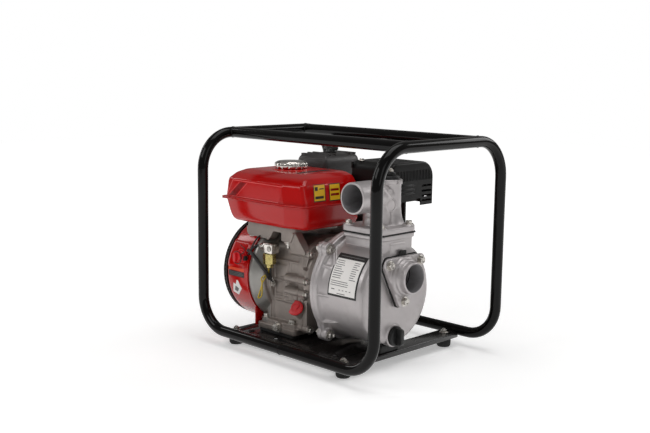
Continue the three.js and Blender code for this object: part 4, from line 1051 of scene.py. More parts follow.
piece("air_cleaner_knob_hub", [parts[0]], M["black"], body=BODY_OF["air_cleaner_knob"], cad="air_cleaner_knob", bev=0.4)

# ================================================================== muffler shield
MX0, MX1, MY0, MY1, MZ0, MZ1 = -30.0, 80.0, 37.5, 167.0, 286.0, 374.0
outer = fillet([(MY0, MZ0, 0), (MY1, MZ0, 0), (MY1, MZ1, 34), (MY0, MZ1, 17)], 9)
inner = fillet([(MY0 + 2, MZ0 - 6, 0), (MY1 - 2, MZ0 - 6, 0), (MY1 - 2, MZ1 - 2, 32), (MY0 + 2, MZ1 - 2, 15)], 9)


def guard_ring(x, i):
    return [(x, y, z) for y, z in fillet([(MY0 + i, MZ0, 0), (MY1 - i, MZ0, 0), (MY1 - i, MZ1 - i, 34 - i), (MY0 + i, MZ1 - i, 17 - i)], 9)]


gr = [guard_ring(MX0 + 4.5 * (1 - math.sin(math.radians(90 * k / 6))), 4.5 * (1 - math.cos(math.radians(90 * k / 6)))) for k in range(6, -1, -1)]
gr += [guard_ring(MX1 - 4.5 * (1 - math.sin(math.radians(90 * k / 6))), 4.5 * (1 - math.cos(math.radians(90 * k / 6)))) for k in range(7)]
o = bare("muffler_guard", outward(skin(gr)), [M["shield"]])
boolean(o, merge([prism(inner, "x", MX0 + 2, MX1 - 2)]))
boolean(o, box(MX0 + 7, MY0 + 7, MZ0 - 3, MX0 - 4, MY1 - 9, MZ1 - 12))
boolean(o, box(MX0 - 2, 30, 280, MX1 + 4, 115, 296))
boolean(o, box(60, 114, 280, MX1 + 4, 127, 300))
boolean(o, box(MX0 - 2, 114, 280, 61, 129, 291))
cuts = []
for k in range(12):
    y = 52.5 + k * 9.7
    cuts.append(box(MX1 - 6, y, 337, MX1 + 4, y + 4.4, 357.5 if k < 11 else 351))
for z in (323, 312.5, 302.5, 293):
    cuts.append(prism(rect(130, z, 161, z + 4.2, 2, 3), "x", MX1 - 6, MX1 + 4))
    cuts.append(prism([(p, q) for p, q in rect(32, z + 3, 70, z + 7, 1.9, 3)], "y", MY1 - 6, MY1 + 4))
for k in range(6):
    cuts.append(box(-18 + k * 15, 62, MZ1 - 7, -13.5 + k * 15, 128, MZ1 + 4))
boolean(o, merge(cuts))
ribs = []
for k in range(12):   # hoods pressed out beside each slot
    y = 52.5 + k * 9.7
    top = 357.5 if k < 11 else 351
    ribs.append(prism([(y - 4.8, MX1 - 1.4), (y - 2.4, MX1 - 0.4), (y + 0.6, MX1 + 1.9), (y + 0.9, MX1 + 1.0), (y - 2.2, MX1 - 1.6)], "z", 337, top, Matrix(((0, 1, 0, 0), (1, 0, 0, 0), (0, 0, 1, 0), (0, 0, 0, 1)))))
for z in (328, 320, 312):
    ribs.append(place(lathe([(0, 0), (1.4, 0.3), (2.6, 2), (2.6, 48), (1.4, 49.7), (0, 50)], "z", n=16), axes((1, 0, 0), (0, 0, -1), (0, 1, 0), (MX1 - 1.0, 58, z))))
ribs.append(box(-28, 36.0, 358, -24, 39.4, 371))
ribs.append(box(70, 29.5, 354, 80, 39, 357))
guard_ribs = bare("muffler_guard_ribs", merge([outward(g) for g in ribs]), [M["shield"]])
bevel(guard_ribs, 0.3, 1, 40)
done(guard_ribs, "root", [], SLOT_OF["muffler_shield"], 40)
done(o, "root", ["muffler_shield"], angle=38)

# ================================================================== near-side fittings
slo, shi = mm("engine_switch")
SX, SZ = (slo.x + shi.x) / 2, (slo.z + shi.z) / 2
piece("switch_bezel", [lathe([(8.5, -139.9), (13, -139.9), (13, -146.5), (12.2, -149.2), (10.6, -150), (8.5, -150), (8.5, -139.9)], "y", (SX, SZ), 64),
                       lathe([(10, -143.6), (14.2, -143.2), (14.6, -141.2), (10, -140.2), (10, -143.6)], "y", (SX, SZ), 48)], M["red_plastic"], cad="engine_switch", bev=0.3)


def flute(w, r, h):
    return r - (0.7 * (0.5 + 0.5 * math.cos(12 * w)) if (h < -150.5 and h > -156.2 and r > 8) else 0)


knob = [lathe([(0, -141.2), (7.7, -141.2), (7.8, -150.2), (10.2, -150.6), (10.6, -152), (10.4, -155.4), (9.2, -156.9), (6, -157.6), (0, -157.8)], "y", (SX, SZ), 96, mod=flute)]
bar = prism(fillet([(-9.4, -3.2, 2.4), (9.4, -3.2, 2.4), (9.4, 3.2, 2.4), (-9.4, 3.2, 2.4)], 5), "z", 0, 7)
knob.append(place(place(bar, axes((0, 0, 1), (1, 0, 0), (0, -1, 0))), Matrix.Translation((SX, -156.2, SZ))))
knob_o = piece("switch_knob_red", knob, M["red_plastic"], body=BODY_OF["engine_switch_knob"], cad="engine_switch_knob", bev=0.5, bangle=40)
ring = [(SX - 2 + 14.6 * math.cos(w), -153.5 - 1.5 * math.cos(w), SZ - 2.0 + 12.6 * math.sin(w)) for w in [2 * math.pi * k / 56 for k in range(56)]]
piece("switch_tag_ring", [tube(ring, 0.85, 10, closed=True), tube(spline([(SX + 8, -153, SZ + 5), (SX + 13, -149, SZ + 10), (SX + 10, -144, SZ + 17), (SX - 2, -141, SZ + 19), (SX - 7, -139, SZ + 22)], 6), 0.8, 8)], M["wire_black"], slot=SLOT_OF["engine_switch"])

lo, hi = mm("oil_switch_body")
sensor = bare("sensor_block_chrome", prism(rect(-106, 193.2, -82.2, 213.8, 3.2, 5), "y", -131, -109), [M["chrome"]])
bevel(sensor, 2.4, 4, 60)
boolean(sensor, lathe([(0, -134), (6.2, -134), (6.2, -130.2), (0, -130.2)], "y", (-89.5, 204), 32))
done(sensor, "root", ["oil_switch_body"], angle=45)


def hexring(R, z, cap, turn=0.0, n=48):
    out = []
    for i in range(n):
        w = 2 * math.pi * i / n
        k = (w + turn) % (math.pi / 3) - math.pi / 6
        r = min(R * math.cos(math.pi / 6) / math.cos(k), cap)
        out.append((r * math.cos(w), r * math.sin(w), z))
    return out


def hexbar(R, z0, z1, m, turn=0.0, ch=1.0):
    inr = R * math.cos(math.pi / 6)
    return outward(place(skin([hexring(R, z0, inr * 1.02, turn), hexring(R, z0 + ch, R, turn), hexring(R, z1 - ch, R, turn), hexring(R, z1, inr * 1.02, turn)]), m))


parts = [hexbar(13.4, 171, 192.6, Matrix.Translation((-100, -120, 0)), 0.28, 1.6), lathe([(0, 164), (7.6, 164), (7.6, 171.5), (0, 171.5)], "z", (-100, -120), 32), lathe([(0, 191), (11.6, 191), (11.6, 193.0), (0, 193.0)], "z", (-100, -120), 40)]
piece("sensor_hex_brass", parts, M["brass"], cad="oil_switch_hex", bev=0.25)
ax_x = axes((0, 1, 0), (0, 0, 1), (1, 0, 0), (0, -118, 203))
parts = [hexbar(9.5, -116.5, -106.3, ax_x, 0.2, 1.0), lathe([(0, -128.5), (5.4, -128.5), (6.0, -127.8), (6.0, -117), (0, -117)], "x", (-118, 203), 28),
         hexbar(7.4, -124.6, -119.6, ax_x, 0.5, 0.8), lathe([(0, -118.4), (9.2, -118.4), (9.2, -116.9), (0, -116.9)], "x", (-118, 203), 32), rodpp((-112, -112, 205), (-112, -102, 205), 5.5, 20)]
piece("sensor_gland_nuts", parts, M["zinc"], slot=SLOT_OF["oil_switch_body"])
parts = [lathe([(0, -129.6), (5.2, -129.6), (5.4, -130.6), (5.0, -132.2), (3.2, -133.0), (0, -133.2)], "y", (-89.5, 204), 28)]
screw = bare("sensor_screw", parts[0], [M["zinc"]])
boolean(screw, merge([box(-93.2, -135, 203.3, -85.8, -131.9, 204.7)]))
boolean(screw, merge([box(-90.2, -135, 200.3, -88.8, -131.9, 207.7)]))
done(screw, "root", [], SLOT_OF["oil_switch_body"], 40)

# wires: short fixed leads, held at both ends
leads = [([(-139.6, -142.0, 196.2), (-127.5, -142.0, 190.9), (-109.5, -134.0, 168.2), (-104.6, -125.0, 154.5), (-107.1, -116.0, 142.6), (-105.9, -109.0, 133.6)], 3.6, "wire_black"),
         ([(-97.3, -121.0, 173.3), (-100.2, -117.0, 158.2), (-104.5, -113.0, 144.7), (-104.4, -109.0, 133.8)], 2.2, "wire_black"),
         ([(-140.5, -140, 186), (-141.5, -128, 203), (-140, -116, 216), (-133, -105, 226), (-124, -95, 233)], 1.7, "wire_black"),
         ([(-128, -118, 203), (-135, -121, 201), (-140, -130, 193), (-142, -138, 186)], 2.2, "wire_black"),
         ([(-103.5, -121.0, 175.4), (-104.2, -119.0, 161.9), (-107.0, -117.0, 151.0), (-113.9, -115.0, 141.4), (-114.0, -113.0, 130.8), (-119.0, -112.0, 118.7), (-125.2, -111.0, 106.9), (-119.1, -111.0, 109.0), (-115.2, -110.0, 121.9), (-112.9, -110.0, 134.6), (-108.6, -112.0, 152.0)], 1.3, "wire_yellow")]


def clear_of_bell(q, r):
    bell = [(-139.4, 103), (-132, 103), (-129.5, 101.5), (-119, 93), (-111, 86)]
    q = Vector(q)
    if q.x < -111:
        rb = 103
        for (xa, ra), (xb, rb_) in zip(bell, bell[1:]):
            if xa <= q.x <= xb:
                rb = ra + (rb_ - ra) * (q.x - xa) / (xb - xa)
        if q.x < -139.4:
            rb = 106.8
        d = Vector((0, q.y - CY, q.z - CZ))
        if d.length < rb + r + 0.4:
            d = d.normalized() * (rb + r + 0.4)
            q = Vector((q.x, CY + d.y, CZ + d.z))
    return (q.x, min(q.y, -104.2 - r) if q.x > -124 and q.z < 205 else q.y, q.z)


for k, (pts, r, mt) in enumerate(leads):
    pts = [clear_of_bell(q, r) for q in pts]
    piece("lead_%d" % (k + 1), tube(spline(pts, 8), r, 14), M[mt], slot=SLOT_OF["oil_switch_body"], angle=60)
parts = [prism(rect(-163, 176.5, -146, 185, 1.6), "y", -146, -139.8), prism(rect(-147.5, 174.5, -141, 183.5, 1.5), "y", -149, -141)]
piece("lead_connector", parts, M["black"], bev=0.6, slot=SLOT_OF["engine_switch"])
piece("lead_ring_terminal", [lathe([(3.2, -106.4), (7.2, -106.4), (7.2, -105.4), (3.2, -105.4), (3.2, -106.4)], "y", (-104.7, 128.4), 28), rodpp((-104.7, -106.0, 134), (-105.5, -108, 141), 2.9, 14)] + hexbolt((-104.7, -106.4, 128.4), (0, -1, 0), 10, 5, 7.6, 1.2), M["zinc"], slot=SLOT_OF["oil_switch_body"])

# oil filler tab: a thumb disc with one straight edge
F = toward(FILL_P, FILL_DIR)
lx = Vector((1, 0, 0))
F = axes(lx, FILL_DIR.cross(lx), FILL_DIR, FILL_P)
outl = []
for k in range(49):
    w = math.radians(-122 + 244 * k / 48)
    outl.append((15.4 * math.cos(w), 15.4 * math.sin(w)))
FT = Matrix.Translation((3.2, 0, -4.5)) @ F @ Matrix.Translation((0, 0, 13.5)) @ Matrix.Rotation(math.radians(24), 4, "Y") @ Matrix.Translation((0, 0, -13.5))
disc = prism(fillet([(x, y, 2.2 if i in (0, 48) else 0) for i, (x, y) in enumerate(outl)], 4), "z", 10.9, 16.1, FT)
tab = bare("oil_filler_tab", disc, [M["red_plastic"]])
bevel(tab, 1.3, 4, 50)
boolean(tab, merge([place(lathe([(0, 0), (8.5, 0), (10.5, 4), (0, 4)], "z", n=40), FT @ Matrix.Translation((2.5, 0, 15.2)))]))
done(tab, BODY_OF["oil_filler_plug"], ["oil_filler_plug"], angle=40)
piece("oil_filler_stem", place(lathe([(0, -36), (2.6, -36), (2.6, -16), (7.9, -15.6), (8.0, 5), (9.8, 5.4), (9.8, 11.2), (0, 11.2)], "z", n=40), F), M["red_plastic"], body=BODY_OF["oil_filler_plug"], slot=SLOT_OF["oil_filler_plug"])
piece("oil_drain_plug_bolt", hexbolt((-77, -118.9, 46), (0, -1, 0), 14.5, 5.6, 10.5, 1.6) + [rod("y", 4.9, -118.9, -97, (-77, 46), 24)], M["zinc"], cad="oil_drain_bolt")

# ================================================================== pump body
PX1 = 166.0
EARS = [(-112, 222), (-110, 57), (36, 222), (34, 57)]


def ear_web(y, z, x0, x1):
    """Web between a bolt ear and the round flange."""
    a = math.atan2(z - CZ, y - CY)
    t = Vector((-math.sin(a), math.cos(a)))
    pts = [(CY + 104 * math.cos(a - 0.42), CZ + 104 * math.sin(a - 0.42)), (y - 12.2 * t.x, z - 12.2 * t.y), (y + 12.2 * t.x, z + 12.2 * t.y), (CY + 104 * math.cos(a + 0.42), CZ + 104 * math.sin(a + 0.42)), (CY + 60 * math.cos(a), CZ + 60 * math.sin(a))]
    return prism(pts, "x", x0, x1)


parts = [lathe([(0, 12.7), (58, 12.7), (60, 14), (60, 19), (54, 27), (53, 30), (58, 32), (98, 36.5), (105, 38), (106.6, 40), (106.8, 47.6), (0, 47.6)], "x", (CY, CZ), 128)]
for y, z in EARS:
    parts.append(rod("x", 12.6, 38, 47.6, (y, z), 40, ch=0.8))
    parts.append(rodpp((42.5, y, z), (42.5, CY + (y - CY) * 0.75, CZ + (z - CZ) * 0.75), 5, 16))
for y, z in EARS:
    parts.append(ear_web(y, z, 39, 47.6))
for k in range(12):
    w = math.radians(15 + 30 * k)
    parts.append(rodpp((26, CY + 56 * math.cos(w), CZ + 56 * math.sin(w)), (38, CY + 96 * math.cos(w), CZ + 96 * math.sin(w)), 2.8, 10))
o = bare("pump_adapter_casting", merge(parts), [M["pump"]])
remesh(o, 1.3, 2)
boolean(o, rod("x", 16.8, 0, 60, (CY, CZ), 48))
done(o, "root", ["pump_adapter"], angle=50)

tri_pts = [(-54, 22, 10), (-43, 38, 9), (43, 38, 9), (54, 22, 10), (11, -58, 9), (-11, -58, 9)]


def tri(g):
    pts = []
    for u, v, r in tri_pts:
        su = g * (1 if u > 0 else -1)
        sv = g if v == 38 else (-g if v < 0 else 0)
        pts.append((CY + u + su, SUCT_Z + v + sv, r + g))
    return fillet(pts, 8)


parts = [
    lathe([(0, 48), (107, 48), (108, 49), (108, 55.5), (106.5, 57.6), (103, 58.6), (99.8, 61.5), (98.8, 70), (98.4, 100), (97.6, 140), (96.9, 149), (95.2, 156), (91.6, 160.6), (86.5, 164), (80, 165.6), (70, 166), (0, 166)], "x", (CY, CZ), 160),
    prism(rect(67, -81, 163, 5, 5), "z", 168, 254.9),
    prism(rect(64.5, -86.5, 165.2, 10.5, 8), "z", 247, 254.9),
    prism(tri(-1), "x", 156, 169),
    rod("x", 21.5, 150, 168, (DRAIN_Y, DRAIN_Z), 64, ch=1.2),
]
for y, z in EARS:
    parts.append(rod("x", 12.6, 48, 60, (y, z), 40, ch=0.8))
    parts.append(ear_web(y, z, 48, 56.5))
    d = Vector((0, CY - y, CZ - z)).normalized()
    side = Vector((0, -d.z, d.y))
    m = axes((1, 0, 0), d, Vector((1, 0, 0)).cross(d), (0, y, z))
    parts.append(prism([(50, -2), (57.5, -2), (57.5, 34), (50, 34)], "z", -12.4, 12.4, m))


def fin(deg, x0, x1, r0, r1, half=2.0, base=92):
    w = math.radians(deg)
    m = axes((1, 0, 0), (0, -math.cos(w), math.sin(w)), (0, -math.sin(w), -math.cos(w)), (0, CY, CZ))
    return prism([(x0, base), (x1, base), (x1, r1), (x0, r0)], "z", -half, half, m)


parts += [fin(-34, 55, 94, 106.5, 98.6, 1.8), fin(-1.5, 55, 84, 106, 99.0, 1.8), fin(29.5, 55, 76, 106, 99.2, 1.8),
          fin(214, 55, 94, 106.5, 98.6, 1.8), fin(181.5, 55, 84, 106, 99.0, 1.8), fin(150, 55, 80, 106, 99.2, 1.8), fin(-90, 55, 92, 106, 98.8, 1.8)]
top_rib = [cyl(57 + 24 * k / 8, 53 - 19 * k / 8, 100.5 - 1.4 * k / 8) for k in range(9)]
parts.append(tube(top_rib, 3.4, 12))
parts += [prism(rect(150, 215, 165.5, 240, 3), "y", -60, -20)]
o = bare("pump_casing_casting", merge(parts), [M["pump"], M["machined"]])
remesh(o, 1.3, 3)
cav = bare("cavity", lathe([(0, 47), (91, 47), (92.5, 100), (91, 150), (84, 158), (74, 161), (0, 161)], "x", (CY, CZ), 96))
boolean(cav, box(126, -72, 112, 162, -4, 214))
boolean(cav, box(72, -76, 150, 158, 0, 256), "UNION")
boolean(cav, box(130, -68, 116, 161.01, -8, 210), "UNION")
b = o.modifiers.new("bool", "BOOLEAN")
b.operation, b.object, b.solver = "DIFFERENCE", cav, "EXACT"
apply_all(o)
bpy.data.objects.remove(cav)
boolean(o, rod("x", 23, 120, 140, (CY, CZ), 48))
boolean(o, rod("x", 26, 150, 171, (CY, SUCT_Z), 64), mat=M["machined"])
boolean(o, rod("x", 9, 130, 171, (DRAIN_Y, DRAIN_Z), 40), mat=M["machined"])
boolean(o, rod("x", 18.2, 167.0, 171, (DRAIN_Y, DRAIN_Z), 48), mat=M["machined"])
done(o, "root", ["pump_casing"], angle=50)
CASING = o

lo, hi = mm("suction_gasket")
G0, G1 = lo.x, hi.x
gk = bare("suction_gasket_sheet", prism(tri(1.6), "x", G0, G1), [M["gasket"]])
boolean(gk, prism(rect(CY - 3, SUCT_Z + 33, CY + 15, SUCT_Z + 47, 2), "x", G0, G1), "UNION")
boolean(gk, rod("x", 26.4, 160, 180, (CY, SUCT_Z), 64))
done(gk, "root", ["suction_gasket"])
F0 = mm("suction_flange")[0].x
parts = [prism(tri(0), "x", F0, F0 + 9.2), lathe([(0, F0), (38, F0), (38, F0 + 11), (36.6, F0 + 13.5), (33.8, F0 + 15.8), (33.6, F0 + 19), (31.4, F0 + 21), (30, F0 + 23), (29.8, 203.6), (29.2, 205.1), (28.4, 205.5), (0, 205.5)], "x", (CY, SUCT_Z), 96)]
for u, v in ((-45, 27), (45, 27), (0, -48)):
    parts.append(rod("x", 11.5, F0 + 6, F0 + 10.4, (CY + u, SUCT_Z + v), 40, ch=0.8))
o = bare("suction_flange_casting", merge(parts), [M["pump"], M["machined"]])
remesh(o, 1.15, 2)
boolean(o, lathe([(0, 160), (26.5, 160), (25.5, 178), (25.5, 203), (27.2, 206.5), (0, 206.5)], "x", (CY, SUCT_Z), 96), mat=M["machined"])
done(o, "root", ["suction_flange"], angle=50)

lo, hi = mm("discharge_gasket")
gk = bare("discharge_gasket_sheet", prism(rect(lo.x + 0.1, lo.y + 0.1, hi.x - 0.1, hi.y - 0.1, 10), "z", lo.z, hi.z), [M["gasket"]])
boolean(gk, prism(rect(74, -75, 156, -1, 3), "z", lo.z - 1, hi.z + 3))
done(gk, "root", ["discharge_gasket"])
DF0 = hi.z + 0.3
parts = [
    prism(rect(63, -88, 166.5, 12, 11), "z", DF0, DF0 + 10.6),
    lathe([(0, 260), (36, 260), (34.5, 268.5), (31.5, 272), (28.8, 279), (27, 288), (25.8, 300), (25.5, 344), (26, 345.4), (27.4, 346.5), (27.6, 352.2), (27, 353), (0, 353)], "z", (OUT_X, NECK_Y), 96),
    lathe([(0, -112), (28.9, -112), (29.8, -111.2), (29.8, -62), (29.2, -54), (27.6, -44), (25.4, -30), (24.6, -14), (20, -4), (0, 0)], "y", (OUT_X, OUT_Z), 96),
    lathe([(0, 262), (29, 262), (27, 276), (25.6, 296), (24, 312), (0, 320)], "z", (OUT_X, -42), 64),
    rod("x", 13, OUT_X + 18, OUT_X + 26.4, (-31.5, 307), 56, ch=0.8),
    prism(fillet([(OUT_X - 34, NECK_Y - 6, 5), (OUT_X + 34, NECK_Y - 6, 5), (OUT_X + 34, NECK_Y + 6, 5), (OUT_X - 34, NECK_Y + 6, 5)], 5), "z", 345.4, 352.8),
    tube([(139.0, -54, 339), (139.6, -43, 330), (139.4, -33, 321)], 3.0, 12),
    prism([(-60, 300), (-44, 270), (-60, 270), (-70, 282)], "x", OUT_X - 3, OUT_X + 3),
    prism([(2, 268), (9, 268), (8.5, 275), (2, 290)], "x", OUT_X - 3, OUT_X + 3),
]
for x, y in ((74, -77), (155.5, -77), (74, 1), (155.5, 1)):
    parts.append(rod("z", 10.4, DF0 + 8, DF0 + 12.6, (x, y), 40, ch=0.8))
o = bare("discharge_elbow_casting", merge(parts), [M["pump"], M["machined"]])
remesh(o, 1.15, 3)
badge = rod("x", 10.2, OUT_X + 25.5, OUT_X + 30, (-31.5, 307), 48)
boolean(o, badge)
boolean(o, lathe([(0, -116), (27.6, -116), (25.6, -109.5), (25.5, -60), (24.5, -48), (21, -34), (20.5, -14), (0, -6)], "y", (OUT_X, OUT_Z), 96), mat=M["machined"])
boolean(o, rod("z", 21, 262, 345, (OUT_X, NECK_Y), 64), mat=M["machined"])
boolean(o, lathe([(0, 255), (21, 255), (16, 310), (0, 310)], "z", (OUT_X, -40), 48), mat=M["machined"])
boolean(o, rod("z", 19.6, 340, 356, (OUT_X, NECK_Y), 64), mat=M["machined"])
boolean(o, prism(rect(80, -66, 150, -6, 4), "z", 250, 262.5), mat=M["machined"])
done(o, "root", ["discharge_elbow"], angle=50)
ELBOW = o
piece("elbow_badge_blank", rod("x", 9.9, OUT_X + 24.6, OUT_X + 26.0, (-31.5, 307), 48, ch=0.4), M["pump"], slot=SLOT_OF["discharge_elbow"])

lo, hi = mm("priming_plug")
parts = [lathe([(0, 342.2), (17.6, 342.2), (18.1, 343), (18.1, 353.4), (22.4, 353.4), (23, 354), (22.6, 357.2), (21, 359), (0, 359.2)], "z", (OUT_X, NECK_Y), 64, mod=lambda w, r, h: r - (0.6 * (0.5 + 0.5 * math.cos(20 * w)) if (h > 353.5 and h < 358 and r > 20) else 0))]
piece("priming_plug_hub", parts, M["black"], body=BODY_OF["priming_plug"], cad="priming_plug", bev=0.3, angle=40)
piece("priming_plug_bar", prism(fillet([(OUT_X - 17, 358, 1), (OUT_X + 17, 358, 1), (OUT_X + 15.5, 367, 4), (OUT_X - 15.5, 367, 4)], 5), "y", NECK_Y - 4, NECK_Y + 4), M["black"], body=BODY_OF["priming_plug"], bev=1.1, seg=3, slot=SLOT_OF["priming_plug"])

lo, hi = mm("drain_knob")
DX = 166.0
parts = [lathe([(0, 150.4), (7.8, 150.4), (8.5, 151.2), (8.5, 168.3), (19.2, 168.4), (19.6, 169), (19.3, 172), (17.4, 174.8), (13, 175.6), (0, 175.6)], "x", (DRAIN_Y, DRAIN_Z), 64, mod=lambda w, r, h: r - (0.5 * (0.5 + 0.5 * math.cos(24 * w)) if (168.6 < h < 173 and r > 18) else 0))]
piece("drain_knob_hub", parts, M["black"], body=BODY_OF["drain_knob"], cad="drain_knob", angle=40)
outl = fillet([(-17.2, 174, 2), (17.2, 174, 2), (14.6, 188.4, 5), (-14.6, 188.4, 5)], 6)
m = axes((0, 0, 1), (1, 0, 0), (0, 1, 0), (0, DRAIN_Y, DRAIN_Z))
piece("drain_knob_wing", prism(outl, "z", -4.6, 4.6, m), M["black"], body=BODY_OF["drain_knob"], bev=1.8, seg=4, slot=SLOT_OF["drain_knob"])

# ================================================================== fasteners, riding on what they hold
Z = M["zinc"]
b = []
for u, v, t in ((-43, 26, 0.1), (43, 26, 0.7), (0, -47, 0.4)):
    b += hexbolt((F0 + 10.2, CY + u, SUCT_Z + v), (1, 0, 0), 12.5, 6, 9.6, 1.6, turn=t)
piece("suction_flange_bolts", b, Z, slot=SLOT_OF["suction_flange"])
b = []
for k, (x, y) in enumerate(((74, -77), (155.5, -77), (74, 1), (155.5, 1))):
    b += hexbolt((x, y, DF0 + 12.4), (0, 0, 1), 11.5, 5.6, 8.8, 1.5, turn=0.2 + 0.37 * k)
piece("discharge_flange_bolts", b, Z, slot=SLOT_OF["discharge_elbow"])
b = []
for k, (y, z) in enumerate(EARS):
    b += hexbolt((59.8, y, z), (1, 0, 0), 13, 6, 9.8, 1.6, turn=0.1 + 0.3 * k)
    b += hexbolt((38.2, y, z), (-1, 0, 0), 13, 7, 10, 1.6, turn=0.5 + 0.3 * k, dish=False)
piece("casing_ear_bolts", b, Z, slot=SLOT_OF["pump_casing"])
b = []
for k, (y, z) in enumerate(BOSSES):
    b += hexbolt((-5.4, y, z), (1, 0, 0), 10.5, 5.6, 8.4, 1.2, turn=0.1 + 0.23 * k)
piece("crankcase_cover_bolts", b, Z, slot=SLOT_OF["crankcase_cover"])
b = []
for k, (x, y) in enumerate(ENG_BOLTS):
    b += hexbolt((x, y, 55.8), (0, 0, 1), 12.5, 6.5, 9.5, 1.6, turn=0.1 + 0.4 * k)
    b.append(rod("z", 4.1, 24, 57, (x, y), 20))
    b += hexbolt((x, y, 25.9), (0, 0, -1), 12.5, 6, 9.5, 1.6, turn=0.1, dish=False)
piece("engine_foot_bolts", b, Z, slot=SLOT_OF["crankcase"])
b = []
for nm in ("foot_pump_near", "foot_pump_far", "foot_engine_near", "foot_engine_far"):
    lo, hi = mm(nm)
    x, y = (lo.x + hi.x) / 2, (lo.y + hi.y) / 2
    b += hexbolt((x, y, 28.0), (0, 0, 1), 10.5, 4.8, 9.0, 1.4, turn=x, dish=False) + [rod("z", 3, 20, 36.2, (x, y), 16)]
piece("rubber_foot_nuts", b, Z, slot=SLOT_OF["base_channel_pump"])
b = []
for x, y, z in ((-165, -105, 219.4), (-63, -104, 219.4)):
    b += hexbolt((x, y, z), (0, 0, -1), 11.5, 5.4, 8.8, 1.4)
    b.append(rod("z", 3, z - 13, z, (x, y), 14))
piece("tank_lug_bolts", b, Z, slot=SLOT_OF["tank_bracket"])
b = []
for k in range(3):
    w = math.radians(20 + 120 * k)
    b += hexbolt((-219.6, CY + 86 * math.cos(w), CZ + 86 * math.sin(w)), (-1, 0, 0), 9, 2.2, 6.6, 0.6, turn=k)
piece("recoil_bolts", b, Z, slot=SLOT_OF["recoil_housing"])
b = []
for x, y in ((-26, -33), (22, -33), (-26, 33), (22, 33)):
    for g in hexbolt((0, 0, 0), (0, 0, 1), 8.5, 4, 6.4, 1.0):
        b.append(place(g, CYL @ Matrix.Translation((x, y, 183.6))))
piece("rocker_cover_bolts", b, Z, slot=SLOT_OF["rocker_cover"])
b = hexbolt((80.0, 32.5, 361), (1, 0, 0), 8.5, 3.6, 6.4, 1.0) + hexbolt((-12, 49.5, 373.6), (0, 0, 1), 8.5, 3.4, 6.2, 0.9) + hexbolt((62, 49.5, 373.6), (0, 0, 1), 8.5, 3.4, 6.2, 0.9)
piece("muffler_guard_screws", b, Z, slot=SLOT_OF["muffler_shield"])
# pan screws with dark heads
b = []
for x, y in ((-140, -132), (96, -132), (96, 30), (-140, 66)):
    b.append(lathe([(0, 27.6), (6.4, 27.9), (6.2, 29.4), (4.2, 31.0), (0, 31.4)], "z", (x, y), 28))
piece("base_pan_screws", b, M["plate"], slot=SLOT_OF["base_plate"])

# ================================================================== labels without lettering


def drum_r(x):
    pts = [(61.5, 99.8), (70, 98.8), (100, 98.4), (140, 97.6), (149, 96.9), (156, 95.2)]
    for (a, ra), (b_, rb) in zip(pts, pts[1:]):
        if x <= b_:
            return ra + (rb - ra) * (x - a) / (b_ - a)
    return pts[-1][1]


def drum_film(x0, x1, t0, t1, lift, nu=8):
    nv = max(2, int(abs(t1 - t0) / 1.6))
    return patch(lambda u, v: cyl(x0 + (x1 - x0) * u, t0 + (t1 - t0) * v, drum_r(x0 + (x1 - x0) * u) + lift),
                 lambda u, v: cyl(x0 + (x1 - x0) * u, t0 + (t1 - t0) * v, drum_r(x0 + (x1 - x0) * u) - 0.8), nu, nv)


ps = SLOT_OF["pump_casing"]
piece("rating_plate_border", drum_film(79, 149, 0, 49.5, 0.30), M["lab_black"], slot=ps, angle=60)
piece("rating_plate_field", drum_film(81.6, 145.6, 2.4, 42.8, 0.50), M["lab_white"], slot=ps, angle=60)
b = []
random.seed(3)
t = 39.6
for k in range(9):
    b.append(drum_film(84.5, 84.5 + 15 + 9 * random.random(), t, t + 0.75, 0.58, 3))
    b.append(drum_film(126, 126 + 9 + 7 * random.random(), t, t + 0.75, 0.58, 3))
    t -= 2.45
t -= 1.2
for k in range(3):
    b.append(drum_film(84.5, 84.5 + 34 + 12 * random.random(), t, t + 0.7, 0.58, 4))
    t -= 2.2
b.append(drum_film(88, 96, 7.4, 8.4, 0.58, 3))
for k in range(4):
    b.append(drum_film(106 + 8.5 * k, 110 + 8.5 * k, 7.4, 8.2, 0.58, 2))
b.append(drum_film(102, 122, 3.4, 4.2, 0.58, 3))
piece("rating_plate_rules", b, M["lab_grey"], slot=ps, angle=60)
piece("rating_plate_header_rule", drum_film(86, 142, 45.6, 46.6, 0.42, 6), M["lab_grey"], slot=ps, angle=60)

ss = SLOT_OF["fan_shroud"]
piece("shroud_strip_orange", cyl_film(-200, -152, 3.6, 6.6, 104.72, 0.5), M["lab_orange"], slot=ss, angle=60)
piece("shroud_strip_grey", cyl_film(-199, -151, -3.2, 2.9, 104.72, 0.5), M["lab_black"], slot=ss, angle=60)
piece("shroud_strip_rules", [cyl_film(-196, -196 + 38 + 4 * (k % 2), -2.2 + 1.6 * k, -1.6 + 1.6 * k, 104.8, 0.4) for k in range(3)], M["lab_grey"], slot=ss, angle=60)


def quad_film(corners, r, thick=0.4, n=8):
    at = bilinear(*[(x, t_, 0) for x, t_ in corners])
    return patch(lambda u, v: cyl(at(u, v).x, at(u, v).y, r), lambda u, v: cyl(at(u, v).x, at(u, v).y, r - thick), n, n)


piece("shroud_pointer_shape", [quad_film([(-194, -23), (-179, -26.2), (-163, -16.5), (-186, -11.5)], 104.72), quad_film([(-181, -14.0), (-163, -16.5), (-171, -7.6), (-175, -7.2)], 104.71)], M["lab_white"], slot=ss, angle=60)
piece("shroud_pointer_mark", quad_film([(-187, -20.5), (-179, -22.0), (-172, -17.5), (-181, -14.5)], 104.80), M["lab_grey"], slot=ss, angle=60)

ts = SLOT_OF["fuel_tank_upper"]


def near_decal(name, c, mat, lift, grid=(30, 8)):
    at = bilinear(*[(x, -160, z) for x, z in c])
    return decal(name, TANK_TOP, at, lambda u, v: (0, 1, 0), grid, mat, lift=lift, thick=0.35, slot=ts)


